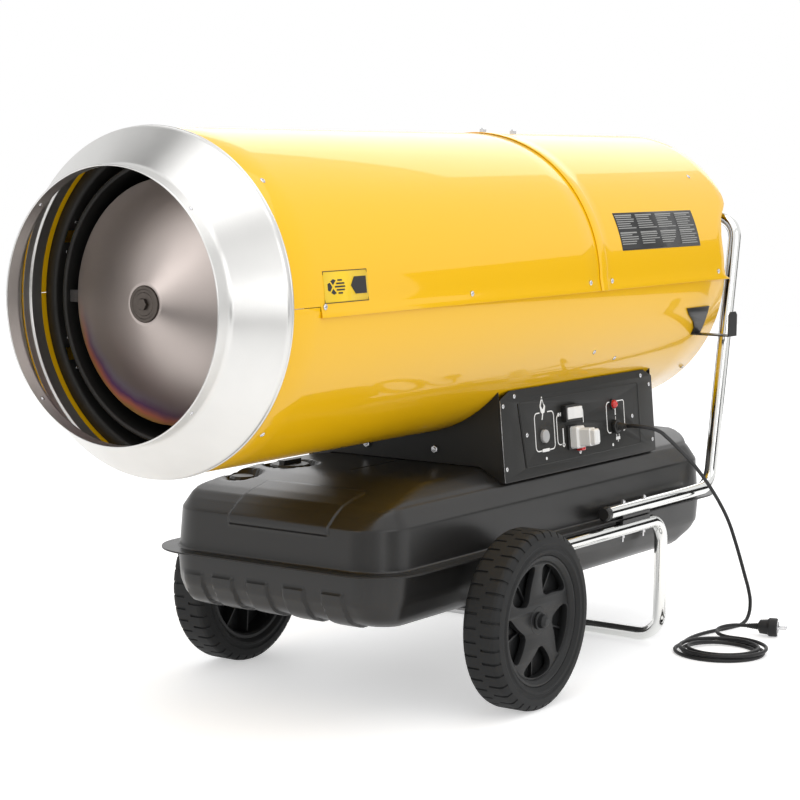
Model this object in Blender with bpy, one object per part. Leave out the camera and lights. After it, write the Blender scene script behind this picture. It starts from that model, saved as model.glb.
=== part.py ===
"""Direct-fired space heater on wheels: barrel, burner, fan, fuel tank, control box, chassis and mains lead.

Metres, +Z up. The outlet looks along -X, the rear handle is at +X and the control panel faces -Y.
Stations along the barrel are measured from the outlet lip, and one empty carries everything, so that
the ground under the middle of the machine is the origin.
"""

import math

import bmesh
import bpy
from mathutils import Matrix, Vector

# Clearances
SEAT_GAP = 0.0003
LAP_GAP = 0.0005
SKIRT_GAP = 0.0012
RUNNING_GAP = 0.0004
CUT_OVERRUN = 0.002
WELD = 0.000001

# Barrel casing
BARREL_RADIUS = 0.278
BARREL_CLEARANCE = 0.0506
SHEET = 0.0015
SEAM_RISE = 0.0034
SEAM_OPEN = 0.001
SHELL_FRONT = 0.096
LAP_START = 1.045
LAP_LENGTH = 0.027
JOGGLE = 0.003
SHELL_REAR = 1.565
NOTCH_REAR = 1.564
HOOD_REAR = 1.642
HOOD_SIDE = 1.594
HOOD_BEND = 1.630
HOOD_ANGLES = (12, 22, 30, 37)
FLANGE_START = 0.177
FLANGE_END = 1.583
FLANGE_STEP = 0.0005
FLANGE_TOP_RISE = 0.0097
FLANGE_DROP = 0.0136
FLANGE_FLARE = 0.0045
TUCK = 0.0036

# Outlet cone
LIP_INSET = 0.0584
LIP_LENGTH = 0.028
CONE_LENGTH = 0.1058
CONE_SKIRT = 0.012
CONE_SHEET = 0.0016
CONE_FILLET = 0.016
ROLL_RADIUS = 0.0022

# Heat shield, combustion chamber and flame deflector
SHIELD_FRONT = 0.150
SHIELD_REAR = 1.010
SHIELD_AIR_GAP = 0.023
SHIELD_SHEET = 0.0012
SHIELD_FLARE = 0.020
CHAMBER_FRONT = 0.142
CHAMBER_REAR = 0.930
CHAMBER_AIR_GAP = 0.027
CHAMBER_SHEET = 0.002
CHAMBER_ROLL = 0.004
CHAMBER_MOUTH = 0.078
ARM_WIDTH = 0.024
ARM_LENGTH = 0.030
ARM_INSET = 0.060
DEFLECTOR_TIP = 0.085
DEFLECTOR_RIM = 0.145
DEFLECTOR_INSET = 0.028
DEFLECTOR_FLAT = 0.034
DEFLECTOR_SHEET = 0.002
DEFLECTOR_CURL = 0.008
STRAP_WIDTH = 0.020
STRAP_SHEET = 0.002
STRAP_FOOT = 0.026
STRAP_REACH = 0.016
WASHER_RADIUS = 0.030
WASHER_THICK = 0.003
BOLT_RADIUS = 0.009
BOLT_HEAD = 0.006
BOLT_SHANK = 0.004
BOLT_LENGTH = 0.018

# Burner
HEAD_DEPTH = 0.060
HEAD_SHEET = 0.003
HEAD_LIP = 0.008
HEAD_LIP_THICK = 0.003
HEAD_BORE = 0.011
SWIRL_SLOTS = 6
SLOT_WIDTH = 0.006
SLOT_INNER = 0.046
SLOT_OUTER = 0.064
NOZZLE_RADIUS = 0.010
NOZZLE_TIP = 0.004
NOZZLE_LENGTH = 0.070
NOZZLE_REACH = 0.012
NOZZLE_COLLAR = 0.018
NOZZLE_COLLAR_THICK = 0.008
ELECTRODE_RADIUS = 0.005
ELECTRODE_WIRE = 0.0015
ELECTRODE_SPREAD = 0.016
ELECTRODE_RISE = 0.026
ELECTRODE_LENGTH = 0.060
ELECTRODE_TIP = 0.020
ELECTRODE_CLAMP = 0.010

# Fan, motor and pump
MOTOR_FRONT = 1.170
MOTOR_LENGTH = 0.205
MOTOR_RADIUS = 0.078
MOTOR_BELL = 0.030
MOTOR_NOSE = 0.026
MOTOR_NOSE_LENGTH = 0.012
MOTOR_FINS = 3
MOTOR_FIN = 0.004
SHAFT_RADIUS = 0.008
SHAFT_ENTRY = 0.016
SHAFT_REAR = 1.500
FAN_FRONT = 1.432
FAN_DEPTH = 0.052
FAN_HUB = 0.042
FAN_TIP_GAP = 0.040
FAN_BLADES = 6
BLADE_CHORD = 0.090
BLADE_ROOT_SHARE = 0.34
BLADE_SWELL_SHARE = 0.16
BLADE_THICK = 0.003
BLADE_ROOT_PITCH = math.radians(48)
BLADE_TIP_PITCH = math.radians(26)
CRADLE_LENGTH = 0.060
CRADLE_HALF_WIDTH = 0.055
CRADLE_WALL = 0.012
CRADLE_SETBACK = 0.060
PUMP_LENGTH = 0.060
PUMP_RADIUS = 0.034
PUMP_VALVE_RADIUS = 0.014
PUMP_VALVE_HEIGHT = 0.062
PUMP_FLANGE = 0.044
PUMP_FLANGE_THICK = 0.008
GUARD_STATION = 1.548
GUARD_WIRE = 0.0022
GUARD_RINGS = 3
GUARD_BOSS = 0.048
GUARD_SPOKES = 6

# Fuel tank
TANK_FRONT = 0.374
TANK_REAR = 1.625
TANK_HALF_WIDTH = 0.272
TANK_DEPTH = 0.102
TANK_SHEET = 0.0015
TANK_RIM = 0.030
TANK_CORNER = 0.100
CREASE_RISE = 0.057
CREASE_INSET = 0.033
PLATEAU_RISE = 0.107
PLATEAU_INSET = 0.049
PLATEAU_EASE = 0.006
DECK_RISE = 0.026
RAISED_FOOT_INSET = 0.057
RAISED_TOP_INSET = 0.105
RAISED_FRONT = 0.742
RAISED_SLOPE = 0.044
RAISED_REAR_INSET = 0.050
RAISED_REAR_SLOPE = 0.018
BELLY_RISE = 0.047
BELLY_INSET = 0.034
BILGE_RISE = 0.013
BILGE_INSET = 0.055
AXLE_CLEARANCE = 0.002
BOTTOM_INSET = 0.092
BOTTOM_REAR_RISE = 0.052
BOTTOM_REAR_RUN = 0.142
PAD_PROUD = 0.0015
PAD_FRONT_WIDTH = 0.205
PAD_OFFSET = 0.020
PAD_DEPTH = 0.170
RIBS = 5
RIB_WIDTH = 0.046
RIB_PITCH = 0.077
RIB_PROUD = 0.0025
RIB_TOP_DROP = 0.039
RIB_SHIFT = 0.0254
RIB_RUN = 0.020
FILLER_STATION = 0.645
FILLER_SIDE = 0.140
NECK_RADIUS = 0.028
NECK_WALL = 0.002
NECK_HEIGHT = 0.014
NECK_FLANGE = 0.040
NECK_FLANGE_THICK = 0.002
NECK_DEPTH = 0.014
CAP_RADIUS = 0.038
CAP_HEIGHT = 0.022
CAP_SKIRT = 0.003
CAP_GRIP = 0.052
CAP_GRIP_WIDTH = 0.012
CAP_GRIP_HEIGHT = 0.008
GAUGE_STATION = 0.540
GAUGE_SIDE = 0.168
GAUGE_RADIUS = 0.024
GAUGE_HEIGHT = 0.012
GAUGE_DOME = 0.004
DRAIN_SETBACK = 0.245
DRAIN_RADIUS = 0.011
DRAIN_HEAD = 0.014
DRAIN_HEAD_THICK = 0.008
DRAIN_SHANK = 0.006
LINE_RADIUS = 0.004
LINE_SIDE = 0.040
LINE_LOW_RISE = 0.134
LINE_HIGH_DROP = 0.1246
LINE_BEND = 0.020
LINE_HOLE_GAP = 0.002

# Control box
BOX_FRONT = 0.810
BOX_REAR = 1.385
BOX_SHEET = 0.002
BOX_FOOT_HALF = 0.2230
BOX_TOP_HALF = 0.2075
BOX_TOP_GAP = 0.0041
BOX_CHAMFER = 0.034
BOX_CHAMFER_DROP = 0.014
TRANSFORMER_FRONT = 1.120
TRANSFORMER_LENGTH = 0.080
TRANSFORMER_SIDE = 0.085
TRANSFORMER_WIDTH = 0.070
TRANSFORMER_HEIGHT = 0.048
TERMINAL_RADIUS = 0.008
TERMINAL_LENGTH = 0.018

# Controls on the panel: stations along the panel and rises up its slope
RESET_STATION = 0.956
RESET_RISE = 0.072
RESET_RADIUS = 0.0125
RESET_PROUD = 0.006
RESET_BEZEL = 0.0025
RESET_DEPTH = 0.014
SWITCH_STATION = 1.052
SWITCH_RISE = 0.107
SWITCH_WIDTH = 0.055
SWITCH_HEIGHT = 0.031
SWITCH_PROUD = 0.010
SWITCH_DEPTH = 0.018
SWITCH_WALL = 0.004
ROCKER_DEPTH = 0.010
ROCKER_PROUD = 0.003
ROCKER_ANGLE = math.radians(8)
ROCKER_KNEE_SHARE = 0.55
ROCKER_KNEE_DEPTH_SHARE = 0.72
ROCKER_BELLY_SHARE = 0.8
ROCKER_EDGE_SHARE = 0.97
SOCKET_STATION = 1.059
SOCKET_RISE = 0.060
SOCKET_WIDTH = 0.040
SOCKET_HEIGHT = 0.044
SOCKET_THICK = 0.004
SOCKET_DEPTH = 0.020
PLUG_WIDTH = 0.032
PLUG_HEIGHT = 0.042
PLUG_LENGTH = 0.052
PLUG_HOOD = 0.014
PLUG_STEP = 0.004
PLUG_CORNER = 0.003
PLUG_TAIL = 0.012
LAMP_STATION = 1.220
LAMP_RISE = 0.108
LAMP_RADIUS = 0.0085
LAMP_DEPTH = 0.012
GLAND_STATION = 1.223
GLAND_RISE = 0.064
GLAND_RADIUS = 0.013
GLAND_NUT = 0.009
GLAND_TAPER = 0.020
GLAND_STEM = 0.0085
GLAND_DEPTH = 0.010

# Wheels and axle
WHEEL_RADIUS = 0.160
WHEEL_STATION = 0.7246
WHEEL_INNER = 0.2865
WHEEL_WIDTH = 0.0757
TYRE_BORE = 0.117
TYRE_SHOULDER = 0.007
TYRE_WALL_INSET = 0.006
TREAD_GROOVES = 12
GROOVE_DEPTH = 0.003
GROOVE_WIDTH = 0.005
GROOVE_MARGIN = 0.008
RIM_BAND = 0.010
RIM_WINDOW_OUTER = 0.101
RIM_WINDOW_INNER = 0.047
RIM_SPOKES = 5
RIM_WEB = 0.012
RIM_WEB_INSET = 0.014
RIM_HUB = 0.030
WINDOW_CORNER = 0.010
WINDOW_SPREAD = math.radians(25)
WINDOW_TWIST = math.radians(7)
AXLE_RADIUS = 0.009
HUB_CAP_RADIUS = 0.0125
HUB_CAP_WALL = 0.0030
HUB_CAP_LENGTH = 0.018
HUB_CAP_DOME = 0.006
AXLE_END = 0.010

# Chassis tubes
TUBE_RADIUS = 0.013
TUBE_SIDE = 0.268
TUBE_BEND = 0.045
STAND_HANG = 0.0205
STAND_LEG_STATION = 1.330
STAND_DROP = 0.026
HANDLE_SEAT = 0.018
HANDLE_FRONT = 1.108
HANDLE_FOOT_STATION = 1.538
HANDLE_TOP_STATION = 1.636
HANDLE_TOP_ANGLE = math.radians(23.4)
END_CAP_LENGTH = 0.014
SADDLE_FRONT = 1.158
SADDLE_LENGTH = 0.110
SADDLE_WIDTH = 0.016
FRONT_SADDLE_STATION = 0.800
FRONT_SADDLE_LENGTH = 0.050

# Cord hook
HOOK_STATION = 1.462
HOOK_TOP_ANGLE = math.radians(-13.8)
HOOK_LOW_ANGLE = math.radians(-26.6)
HOOK_PLATE_WIDTH = 0.097
HOOK_NECK_WIDTH = 0.037
HOOK_NECK_SHIFT = 0.031
HOOK_SHEET = 0.0025
HOOK_REACH = 0.086
HOOK_TAB = 0.050
HOOK_TAB_EASE = 0.007

# Mains lead: points from the gland past the handle and down to the ground, by hand
CORD_DIAMETER = 0.0075
CORD_POINTS = (
    (1.2284, -0.2770, 0.4470), (1.2425, -0.2920, 0.4430), (1.2640, -0.2978, 0.4345),
    (1.3180, -0.2990, 0.4060), (1.3920, -0.3010, 0.3610), (1.4520, -0.3040, 0.3160),
    (1.5040, -0.3080, 0.2680), (1.5420, -0.3130, 0.2210), (1.5710, -0.3190, 0.1650),
    (1.5960, -0.3260, 0.1040), (1.6100, -0.3310, 0.0640), (1.6105, -0.3340, 0.0400),
    (1.6000, -0.3360, 0.0185), (1.5820, -0.3365, 0.0070), (1.5580, -0.3355, 0.0041),
    (1.5150, -0.3290, 0.0040), (1.4600, -0.3150, 0.0040), (1.4000, -0.3095, 0.0040),
)
COIL_STATION = 1.319
COIL_SIDE = -0.412
COIL_OUTER = 0.091
COIL_INNER = 0.062
COIL_TURNS = 3.78
COIL_START = math.radians(90)
COIL_GAP = 0.0006
LOOP_POINTS = 24
TAIL_RADIUS = 0.045
TAIL_SWEEP = math.radians(172)
TAIL_END = 0.010
LEAD_PLUG_RADIUS = 0.019
LEAD_PLUG_LENGTH = 0.040
LEAD_PLUG_TAIL = 0.022
LEAD_PIN_RADIUS = 0.0024
LEAD_PIN_LENGTH = 0.019
LEAD_PIN_PITCH = 0.019
FLOOR_LIFT = 0.0002

# Sizes that follow, built up from the axle to the barrel
BOTTOM_HEIGHT = WHEEL_RADIUS + AXLE_RADIUS + AXLE_CLEARANCE
BILGE_HEIGHT = BOTTOM_HEIGHT + BILGE_RISE
BELLY_HEIGHT = BOTTOM_HEIGHT + BELLY_RISE
TANK_FLANGE_HEIGHT = BOTTOM_HEIGHT + TANK_DEPTH
RIB_TOP = TANK_FLANGE_HEIGHT - RIB_TOP_DROP
STAND_HEIGHT = TANK_FLANGE_HEIGHT - STAND_HANG
HANDLE_HEIGHT = TANK_FLANGE_HEIGHT + HANDLE_SEAT
CREASE_HEIGHT = TANK_FLANGE_HEIGHT + CREASE_RISE
PLATEAU_HEIGHT = TANK_FLANGE_HEIGHT + PLATEAU_RISE
RAISED_HEIGHT = PLATEAU_HEIGHT + DECK_RISE
BARREL_HEIGHT = RAISED_HEIGHT + BARREL_CLEARANCE + BARREL_RADIUS
BARREL_UNDER = BARREL_HEIGHT - math.sqrt(BARREL_RADIUS**2 - BOX_TOP_HALF**2)
BOX_TOP_HEIGHT = BARREL_UNDER - BOX_TOP_GAP
DRAIN_STATION = TANK_REAR - DRAIN_SETBACK
LINE_LOW_BEND = RAISED_HEIGHT + LINE_LOW_RISE
LINE_HIGH_BEND = BARREL_HEIGHT - LINE_HIGH_DROP
HANDLE_TOP_HEIGHT = BARREL_HEIGHT + BARREL_RADIUS * math.sin(HANDLE_TOP_ANGLE)
LIP_RADIUS = BARREL_RADIUS - LIP_INSET
SHIELD_RADIUS = BARREL_RADIUS - SHIELD_AIR_GAP
CHAMBER_RADIUS = SHIELD_RADIUS - CHAMBER_AIR_GAP
DEFLECTOR_RADIUS = CHAMBER_RADIUS - DEFLECTOR_INSET
FAN_RADIUS = BARREL_RADIUS - FAN_TIP_GAP
OVERALL_LENGTH = HANDLE_TOP_STATION + TUBE_RADIUS

# Facets of the round pieces
BARREL_STEPS = 24
CONE_STEPS = 40
INNER_STEPS = 28
SMALL_STEPS = 12
TINY_STEPS = 8
WHEEL_STEPS = 30
SMOOTH_ANGLE = math.radians(32)


def clear_scene():
    for old in list(bpy.data.objects):
        bpy.data.objects.remove(old, do_unlink=True)


def material(name, colour, roughness, metallic=0.0):
    made = bpy.data.materials.new(name)
    made.use_nodes = True
    shader = made.node_tree.nodes["Principled BSDF"]
    shader.inputs["Base Color"].default_value = (*colour, 1.0)
    shader.inputs["Roughness"].default_value = roughness
    shader.inputs["Metallic"].default_value = metallic
    return made


def empty(name, parent=None, place=(0, 0, 0), turn=(0, 0, 0)):
    made = bpy.data.objects.new(name, None)
    bpy.context.scene.collection.objects.link(made)
    made.parent = parent
    made.location = place
    made.rotation_euler = turn
    return made


def face_out(form):
    """Turns the faces outwards; a thin tray can mislead the first guess, so the volume decides."""
    bmesh.ops.recalc_face_normals(form, faces=form.faces)
    if form.calc_volume(signed=True) < 0:
        bmesh.ops.reverse_faces(form, faces=form.faces)


def mesh_of(name, form):
    """A mesh from a bmesh, its faces pointing out, and smooth where it is round."""
    face_out(form)
    mesh = bpy.data.meshes.new(name)
    form.to_mesh(mesh)
    form.free()
    mesh.shade_smooth()
    mesh.set_sharp_from_angle(angle=SMOOTH_ANGLE)
    return mesh


def add(name, form, finish, parent, place=(0, 0, 0)):
    """An object from a bmesh, or from a mesh that another object already has."""
    mesh = mesh_of(name, form) if isinstance(form, bmesh.types.BMesh) else form
    made = bpy.data.objects.new(name, mesh)
    bpy.context.scene.collection.objects.link(made)
    if not mesh.materials:
        mesh.materials.append(finish)
    made.parent = parent
    made.location = place
    return made


def tool(name, form, parent, place=(0, 0, 0)):
    """A cutter or a piece to join: it shapes another object and isn't a piece itself."""
    made = add(name, form, FINISH["black"], parent, place)
    made.hide_render = True
    made.display_type = "WIRE"
    return made


def boolean(target, other, operation):
    step = target.modifiers.new(other.name, "BOOLEAN")
    step.operation = operation
    step.solver = "EXACT"
    step.object = other


def cut(target, other):
    boolean(target, other, "DIFFERENCE")


def join(target, other):
    boolean(target, other, "UNION")


def turned(profile, steps, closed=True):
    """A profile of (along, radius) points spun round the X axis; an open one ends on the axis."""
    form = bmesh.new()
    points = [form.verts.new((along, 0, radius)) for along, radius in profile]
    edges = [form.edges.new(pair) for pair in zip(points, points[1:])]
    if closed:
        edges.append(form.edges.new((points[-1], points[0])))
    bmesh.ops.spin(
        form, geom=points + edges, axis=(1, 0, 0), cent=(0, 0, 0), angle=math.tau,
        steps=steps, use_merge=True,
    )
    bmesh.ops.remove_doubles(form, verts=form.verts, dist=WELD)
    return form


def extruded(outline, depth):
    """A flat outline in XY raised along +Z."""
    form = bmesh.new()
    face = form.faces.new([form.verts.new((u, v, 0)) for u, v in outline])
    raised = bmesh.ops.extrude_face_region(form, geom=[face])
    moved = [item for item in raised["geom"] if isinstance(item, bmesh.types.BMVert)]
    bmesh.ops.translate(form, verts=moved, vec=(0, 0, depth))
    return form


def lofted(rings, banded=False):
    """Rings of as many points each, joined in order and capped at both ends.

    Banded caps run in strips between mirrored points, for ends that aren't flat.
    """
    form = bmesh.new()
    loops = [[form.verts.new(point) for point in ring] for ring in rings]
    count = len(loops[0])
    for first, second in zip(loops, loops[1:]):
        for i in range(count):
            j = (i + 1) % count
            form.faces.new((first[i], first[j], second[j], second[i]))
    for loop in (loops[0], loops[-1]):
        if banded:
            for i in range(count // 2 - 1):
                form.faces.new((loop[i], loop[i + 1], loop[-2 - i], loop[-1 - i]))
        else:
            form.faces.new(loop)
    return form


def sheet_solid(outer, inner):
    """Sheet metal between two grids of points that match, closed round its four edges."""
    form = bmesh.new()
    top = [[form.verts.new(point) for point in row] for row in outer]
    low = [[form.verts.new(point) for point in row] for row in inner]
    rows, columns = len(top), len(top[0])
    for i in range(rows - 1):
        for j in range(columns - 1):
            form.faces.new((top[i][j], top[i][j + 1], top[i + 1][j + 1], top[i + 1][j]))
            form.faces.new((low[i][j], low[i + 1][j], low[i + 1][j + 1], low[i][j + 1]))
    for j in range(columns - 1):
        form.faces.new((top[0][j], low[0][j], low[0][j + 1], top[0][j + 1]))
        form.faces.new((top[-1][j], top[-1][j + 1], low[-1][j + 1], low[-1][j]))
    for i in range(rows - 1):
        form.faces.new((top[i][0], top[i + 1][0], low[i + 1][0], low[i][0]))
        form.faces.new((top[i][-1], low[i][-1], low[i + 1][-1], top[i + 1][-1]))
    return form


def offset_line(points, distance):
    """The same open line of 2-D points, moved sideways to its left, mitred at its corners."""
    moved = []
    for i, point in enumerate(points):
        here = Vector(point)
        before = Vector(points[max(i - 1, 0)])
        after = Vector(points[min(i + 1, len(points) - 1)])
        arriving = (here - before).normalized() if i else (after - here).normalized()
        leaving = (after - here).normalized() if i < len(points) - 1 else arriving
        side = Vector((-arriving.y - leaving.y, arriving.x + leaving.x)).normalized()
        reach = distance / max(side.dot(Vector((-arriving.y, arriving.x))), 0.5)
        moved.append(tuple(here + side * reach))
    return moved


def arc(centre, radius, start, end, steps):
    """Points on an arc, both ends with it."""
    turns = [start + (end - start) * i / steps for i in range(steps + 1)]
    return [(centre[0] + radius * math.cos(a), centre[1] + radius * math.sin(a)) for a in turns]


def rounded(corners, steps):
    """An outline of (x, y, radius) corners, each one rounded with as many points."""
    outline = []
    for i, (x, y, radius) in enumerate(corners):
        here = Vector((x, y))
        before = Vector(corners[i - 1][:2]) - here
        after = Vector(corners[(i + 1) % len(corners)][:2]) - here
        half = before.angle(after) / 2
        reach = radius / math.tan(half)
        middle = here + (before.normalized() + after.normalized()).normalized() * (
            radius / math.sin(half)
        )
        first = here + before.normalized() * reach - middle
        last = here + after.normalized() * reach - middle
        swing = first.angle_signed(last)
        for k in range(steps + 1):
            turn = Matrix.Rotation(-swing * k / steps, 2)
            outline.append(tuple(middle + turn @ first))
    return outline


def rounded_rectangle(low, high, corner, steps):
    """An outline between two opposite corners, anticlockwise."""
    (x0, y0), (x1, y1) = low, high
    return rounded([(x0, y0, corner), (x1, y0, corner), (x1, y1, corner), (x0, y1, corner)], steps)


def block(low, high):
    """A box between two opposite corners."""
    outline = [(low[0], low[1]), (high[0], low[1]), (high[0], high[1]), (low[0], high[1])]
    form = extruded(outline, high[2] - low[2])
    bmesh.ops.translate(form, verts=form.verts, vec=(0, 0, low[2]))
    return form


def merged(*forms):
    """Several bmeshes in one, for a cutter made of many solids."""
    together = bmesh.new()
    for form in forms:
        face_out(form)
        mesh = bpy.data.meshes.new("merged")
        form.to_mesh(mesh)
        form.free()
        together.from_mesh(mesh)
        bpy.data.meshes.remove(mesh)
    return together


def placed(form, matrix):
    bmesh.ops.transform(form, matrix=matrix, verts=form.verts)
    return form


def along_y(form):
    """Turns a form that was made round the X axis so that its axis is Y."""
    return placed(form, Matrix.Rotation(math.pi / 2, 4, "Z"))


def upright(form):
    """Turns a form that was made round the X axis so that its axis is Z."""
    return placed(form, Matrix.Rotation(-math.pi / 2, 4, "Y"))


def across(form):
    """Turns a form that was raised along Z so that its outline lies in YZ and its depth along X."""
    return placed(form, Matrix(((0, 0, 1, 0), (1, 0, 0, 0), (0, 1, 0, 0), (0, 0, 0, 1))))


def sideways(form):
    """Turns a form that was raised along Z so that its outline lies in XZ and its depth along Y."""
    return placed(form, Matrix(((1, 0, 0, 0), (0, 0, 1, 0), (0, 1, 0, 0), (0, 0, 0, 1))))


def bent_path(corners, radius, steps):
    """A route through corners, each inner one rounded by an arc of one radius."""
    route = [Vector(corners[0])]
    for before, here, after in zip(corners, corners[1:], corners[2:]):
        here = Vector(here)
        back = (Vector(before) - here).normalized()
        on = (Vector(after) - here).normalized()
        half = back.angle(on) / 2
        middle = here + (back + on).normalized() * (radius / math.sin(half))
        first = (here + back * (radius / math.tan(half)) - middle).normalized()
        last = (here + on * (radius / math.tan(half)) - middle).normalized()
        for k in range(steps + 1):
            route.append(middle + radius * first.slerp(last, k / steps))
    route.append(Vector(corners[-1]))
    return route


def tube_curve(name, route, radius, resolution, finish, parent):
    """A round tube on a poly spline, its ends filled."""
    curve = bpy.data.curves.new(name, "CURVE")
    curve.dimensions = "3D"
    curve.bevel_depth = radius
    curve.bevel_resolution = resolution
    curve.use_fill_caps = True
    spline = curve.splines.new("POLY")
    spline.points.add(len(route) - 1)
    for point, place in zip(spline.points, route):
        point.co = (*place, 1)
    made = bpy.data.objects.new(name, curve)
    bpy.context.scene.collection.objects.link(made)
    curve.materials.append(finish)
    made.parent = parent
    return made


def tube_mesh(name, route, radius, resolution, finish, parent):
    """The same tube as a mesh, so that a hole can be cut in it."""
    curve = tube_curve(name, route, radius, resolution, finish, None)
    bpy.context.view_layer.update()
    shape = curve.evaluated_get(bpy.context.evaluated_depsgraph_get())
    mesh = bpy.data.meshes.new_from_object(shape)
    bpy.data.objects.remove(curve, do_unlink=True)
    form = bmesh.new()
    form.from_mesh(mesh)
    bmesh.ops.remove_doubles(form, verts=form.verts, dist=WELD)
    bpy.data.meshes.remove(mesh)
    return add(name, form, finish, parent)


def on_barrel(radius, angle):
    """A place in the YZ plane on a circle round the barrel's axis; 0 is the panel's side."""
    return (-radius * math.cos(angle), BARREL_HEIGHT + radius * math.sin(angle))


def inside_casing():
    """The largest radius that stays clear of the casing's facets from inside."""
    return (BARREL_RADIUS - SHEET) * math.cos(math.pi / (2 * BARREL_STEPS)) - SEAT_GAP


def barrel_sheet(stations, edges, front, rear, rear_line=None):
    """A half casing: rows of points from front to rear, across the half's angles.

    stations gives (share of the length, radial offset); edges(x) gives the outline in YZ there.
    rear_line(j, count), where it is given, is how far back one column of points reaches.
    """
    outer, inner = [], []
    for share, swell in stations:
        row_out, row_in = [], []
        count = len(edges(front, swell)[0])
        for j in range(count):
            end = rear_line(j, count) if rear_line else rear
            x = front + (end - front) * share
            (out_y, out_z), (in_y, in_z) = (line[j] for line in edges(x, swell))
            row_out.append((x, out_y, out_z))
            row_in.append((x, in_y, in_z))
        outer.append(row_out)
        inner.append(row_in)
    return sheet_solid(outer, inner)


def upper_edges(x, swell):
    """Outline of an upper half: seam flange, arc over the top, seam flange."""
    radius = BARREL_RADIUS + swell
    first = math.asin(FLANGE_TOP_RISE / BARREL_RADIUS)
    turns = [first + (math.pi - 2 * first) * i / BARREL_STEPS for i in range(BARREL_STEPS + 1)]
    outer = [on_barrel(radius, a) for a in turns]
    inner = [on_barrel(radius - SHEET, a) for a in turns]
    flanged = FLANGE_START <= x
    if flanged:
        low = BARREL_HEIGHT - FLANGE_DROP
        reach = radius + FLANGE_FLARE
    else:
        low = BARREL_HEIGHT + SEAM_RISE + SEAM_OPEN / 2
        reach = radius
    outer = [(-reach, low)] + outer + [(reach, low)]
    inner = [(SHEET - reach, low)] + inner + [(reach - SHEET, low)]
    return outer, inner


def lower_edges(x, swell):
    """Outline of the lower half: its top edges tuck up behind the flanges."""
    radius = BARREL_RADIUS + swell
    behind = -TUCK if FLANGE_START - FLANGE_STEP < x else SEAM_RISE - SEAM_OPEN / 2
    first = math.asin(behind / BARREL_RADIUS)
    sweep = math.pi + 2 * first
    turns = [first - sweep * i / BARREL_STEPS for i in range(BARREL_STEPS + 1)]
    return [on_barrel(radius, a) for a in turns], [on_barrel(radius - SHEET, a) for a in turns]


def hood_rear(j, count):
    """How far back the hood reaches: cut away at its sides, where a hand holds the handle."""
    side = min(j, count - 1 - j)
    if side == 0:
        return FLANGE_END
    angle = math.degrees(math.pi) * (side - 1) / (count - 3)
    low_angle, bend_angle, high_angle, full_angle = HOOD_ANGLES
    if angle <= low_angle:
        return NOTCH_REAR
    if angle <= bend_angle:
        share = (angle - low_angle) / (bend_angle - low_angle)
        return NOTCH_REAR + (HOOD_SIDE - NOTCH_REAR) * share**2
    if angle <= high_angle:
        share = (angle - bend_angle) / (high_angle - bend_angle)
        return HOOD_SIDE + (HOOD_BEND - HOOD_SIDE) * share
    share = min((angle - high_angle) / (full_angle - high_angle), 1)
    return HOOD_BEND + (HOOD_REAR - HOOD_BEND) * math.sin(share * math.pi / 2)


def casing(frame):
    """The yellow casing: two upper halves that lap, and one long lower half."""
    front_rear = LAP_START + LAP_LENGTH - JOGGLE
    length = front_rear - SHELL_FRONT
    step = (FLANGE_START - FLANGE_STEP - SHELL_FRONT) / length
    after = (FLANGE_START - SHELL_FRONT + SEAT_GAP) / length
    rows = [(0, 0), (step, 0), (after, 0), (1, 0)]
    form = barrel_sheet(rows, upper_edges, SHELL_FRONT, front_rear)
    add("front_upper_shell", form, FINISH["yellow"], frame)

    lap = SHEET + LAP_GAP
    lap_share = LAP_LENGTH / (HOOD_REAR - LAP_START)
    lap_end_share = (LAP_LENGTH + JOGGLE) / (HOOD_REAR - LAP_START)
    middle_share = (lap_end_share + 1) / 2
    rows = [(0, lap), (lap_share, lap), (lap_end_share, 0), (middle_share, 0), (1, 0)]
    form = barrel_sheet(rows, upper_edges, LAP_START, HOOD_REAR, hood_rear)
    add("rear_upper_shell", form, FINISH["yellow"], frame)

    length = SHELL_REAR - SHELL_FRONT
    step = (FLANGE_START - FLANGE_STEP - SHELL_FRONT - SEAT_GAP) / length
    after = (FLANGE_START - SHELL_FRONT) / length
    rows = [(0, 0), (step, 0), (after, 0), (1, 0)]
    form = barrel_sheet(rows, lower_edges, SHELL_FRONT, SHELL_REAR)
    lower = add("lower_shell", form, FINISH["yellow"], frame)
    hole = LINE_RADIUS + LINE_HOLE_GAP
    drill = upright(turned([(0, 0), (0, hole), (BARREL_RADIUS, hole), (BARREL_RADIUS, 0)],
                           TINY_STEPS, closed=False))
    line = MOTOR_FRONT - SEAT_GAP - PUMP_LENGTH / 2
    low = BARREL_HEIGHT - BARREL_RADIUS * 1.5
    cut(lower, tool("line_hole", drill, frame, (line, LINE_SIDE, low)))


def outlet_cone(frame):
    """Spun aluminium outlet: a plain lip, a filleted cone and a skirt with a rolled edge."""
    skirt = BARREL_RADIUS + SKIRT_GAP + CONE_SHEET
    foot = CONE_LENGTH - CONE_SKIRT
    slope = math.atan2(skirt - LIP_RADIUS, foot - LIP_LENGTH)
    reach = CONE_FILLET * math.tan(slope / 2)
    centre = (LIP_LENGTH - reach, LIP_RADIUS + CONE_FILLET)
    fillet = arc(centre, CONE_FILLET, -math.pi / 2, slope - math.pi / 2, 2)
    outer = [(0, LIP_RADIUS)] + fillet + [(foot, skirt), (CONE_LENGTH - ROLL_RADIUS, skirt)]
    inner = offset_line(outer[:-1], -CONE_SHEET)
    outer += [(CONE_LENGTH, skirt + ROLL_RADIUS / 2)]
    inner += [(CONE_LENGTH, skirt - CONE_SHEET)]
    form = turned(outer + list(reversed(inner)), CONE_STEPS)
    add("outlet_cone", form, FINISH["aluminium"], frame, (0, 0, BARREL_HEIGHT))


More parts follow.
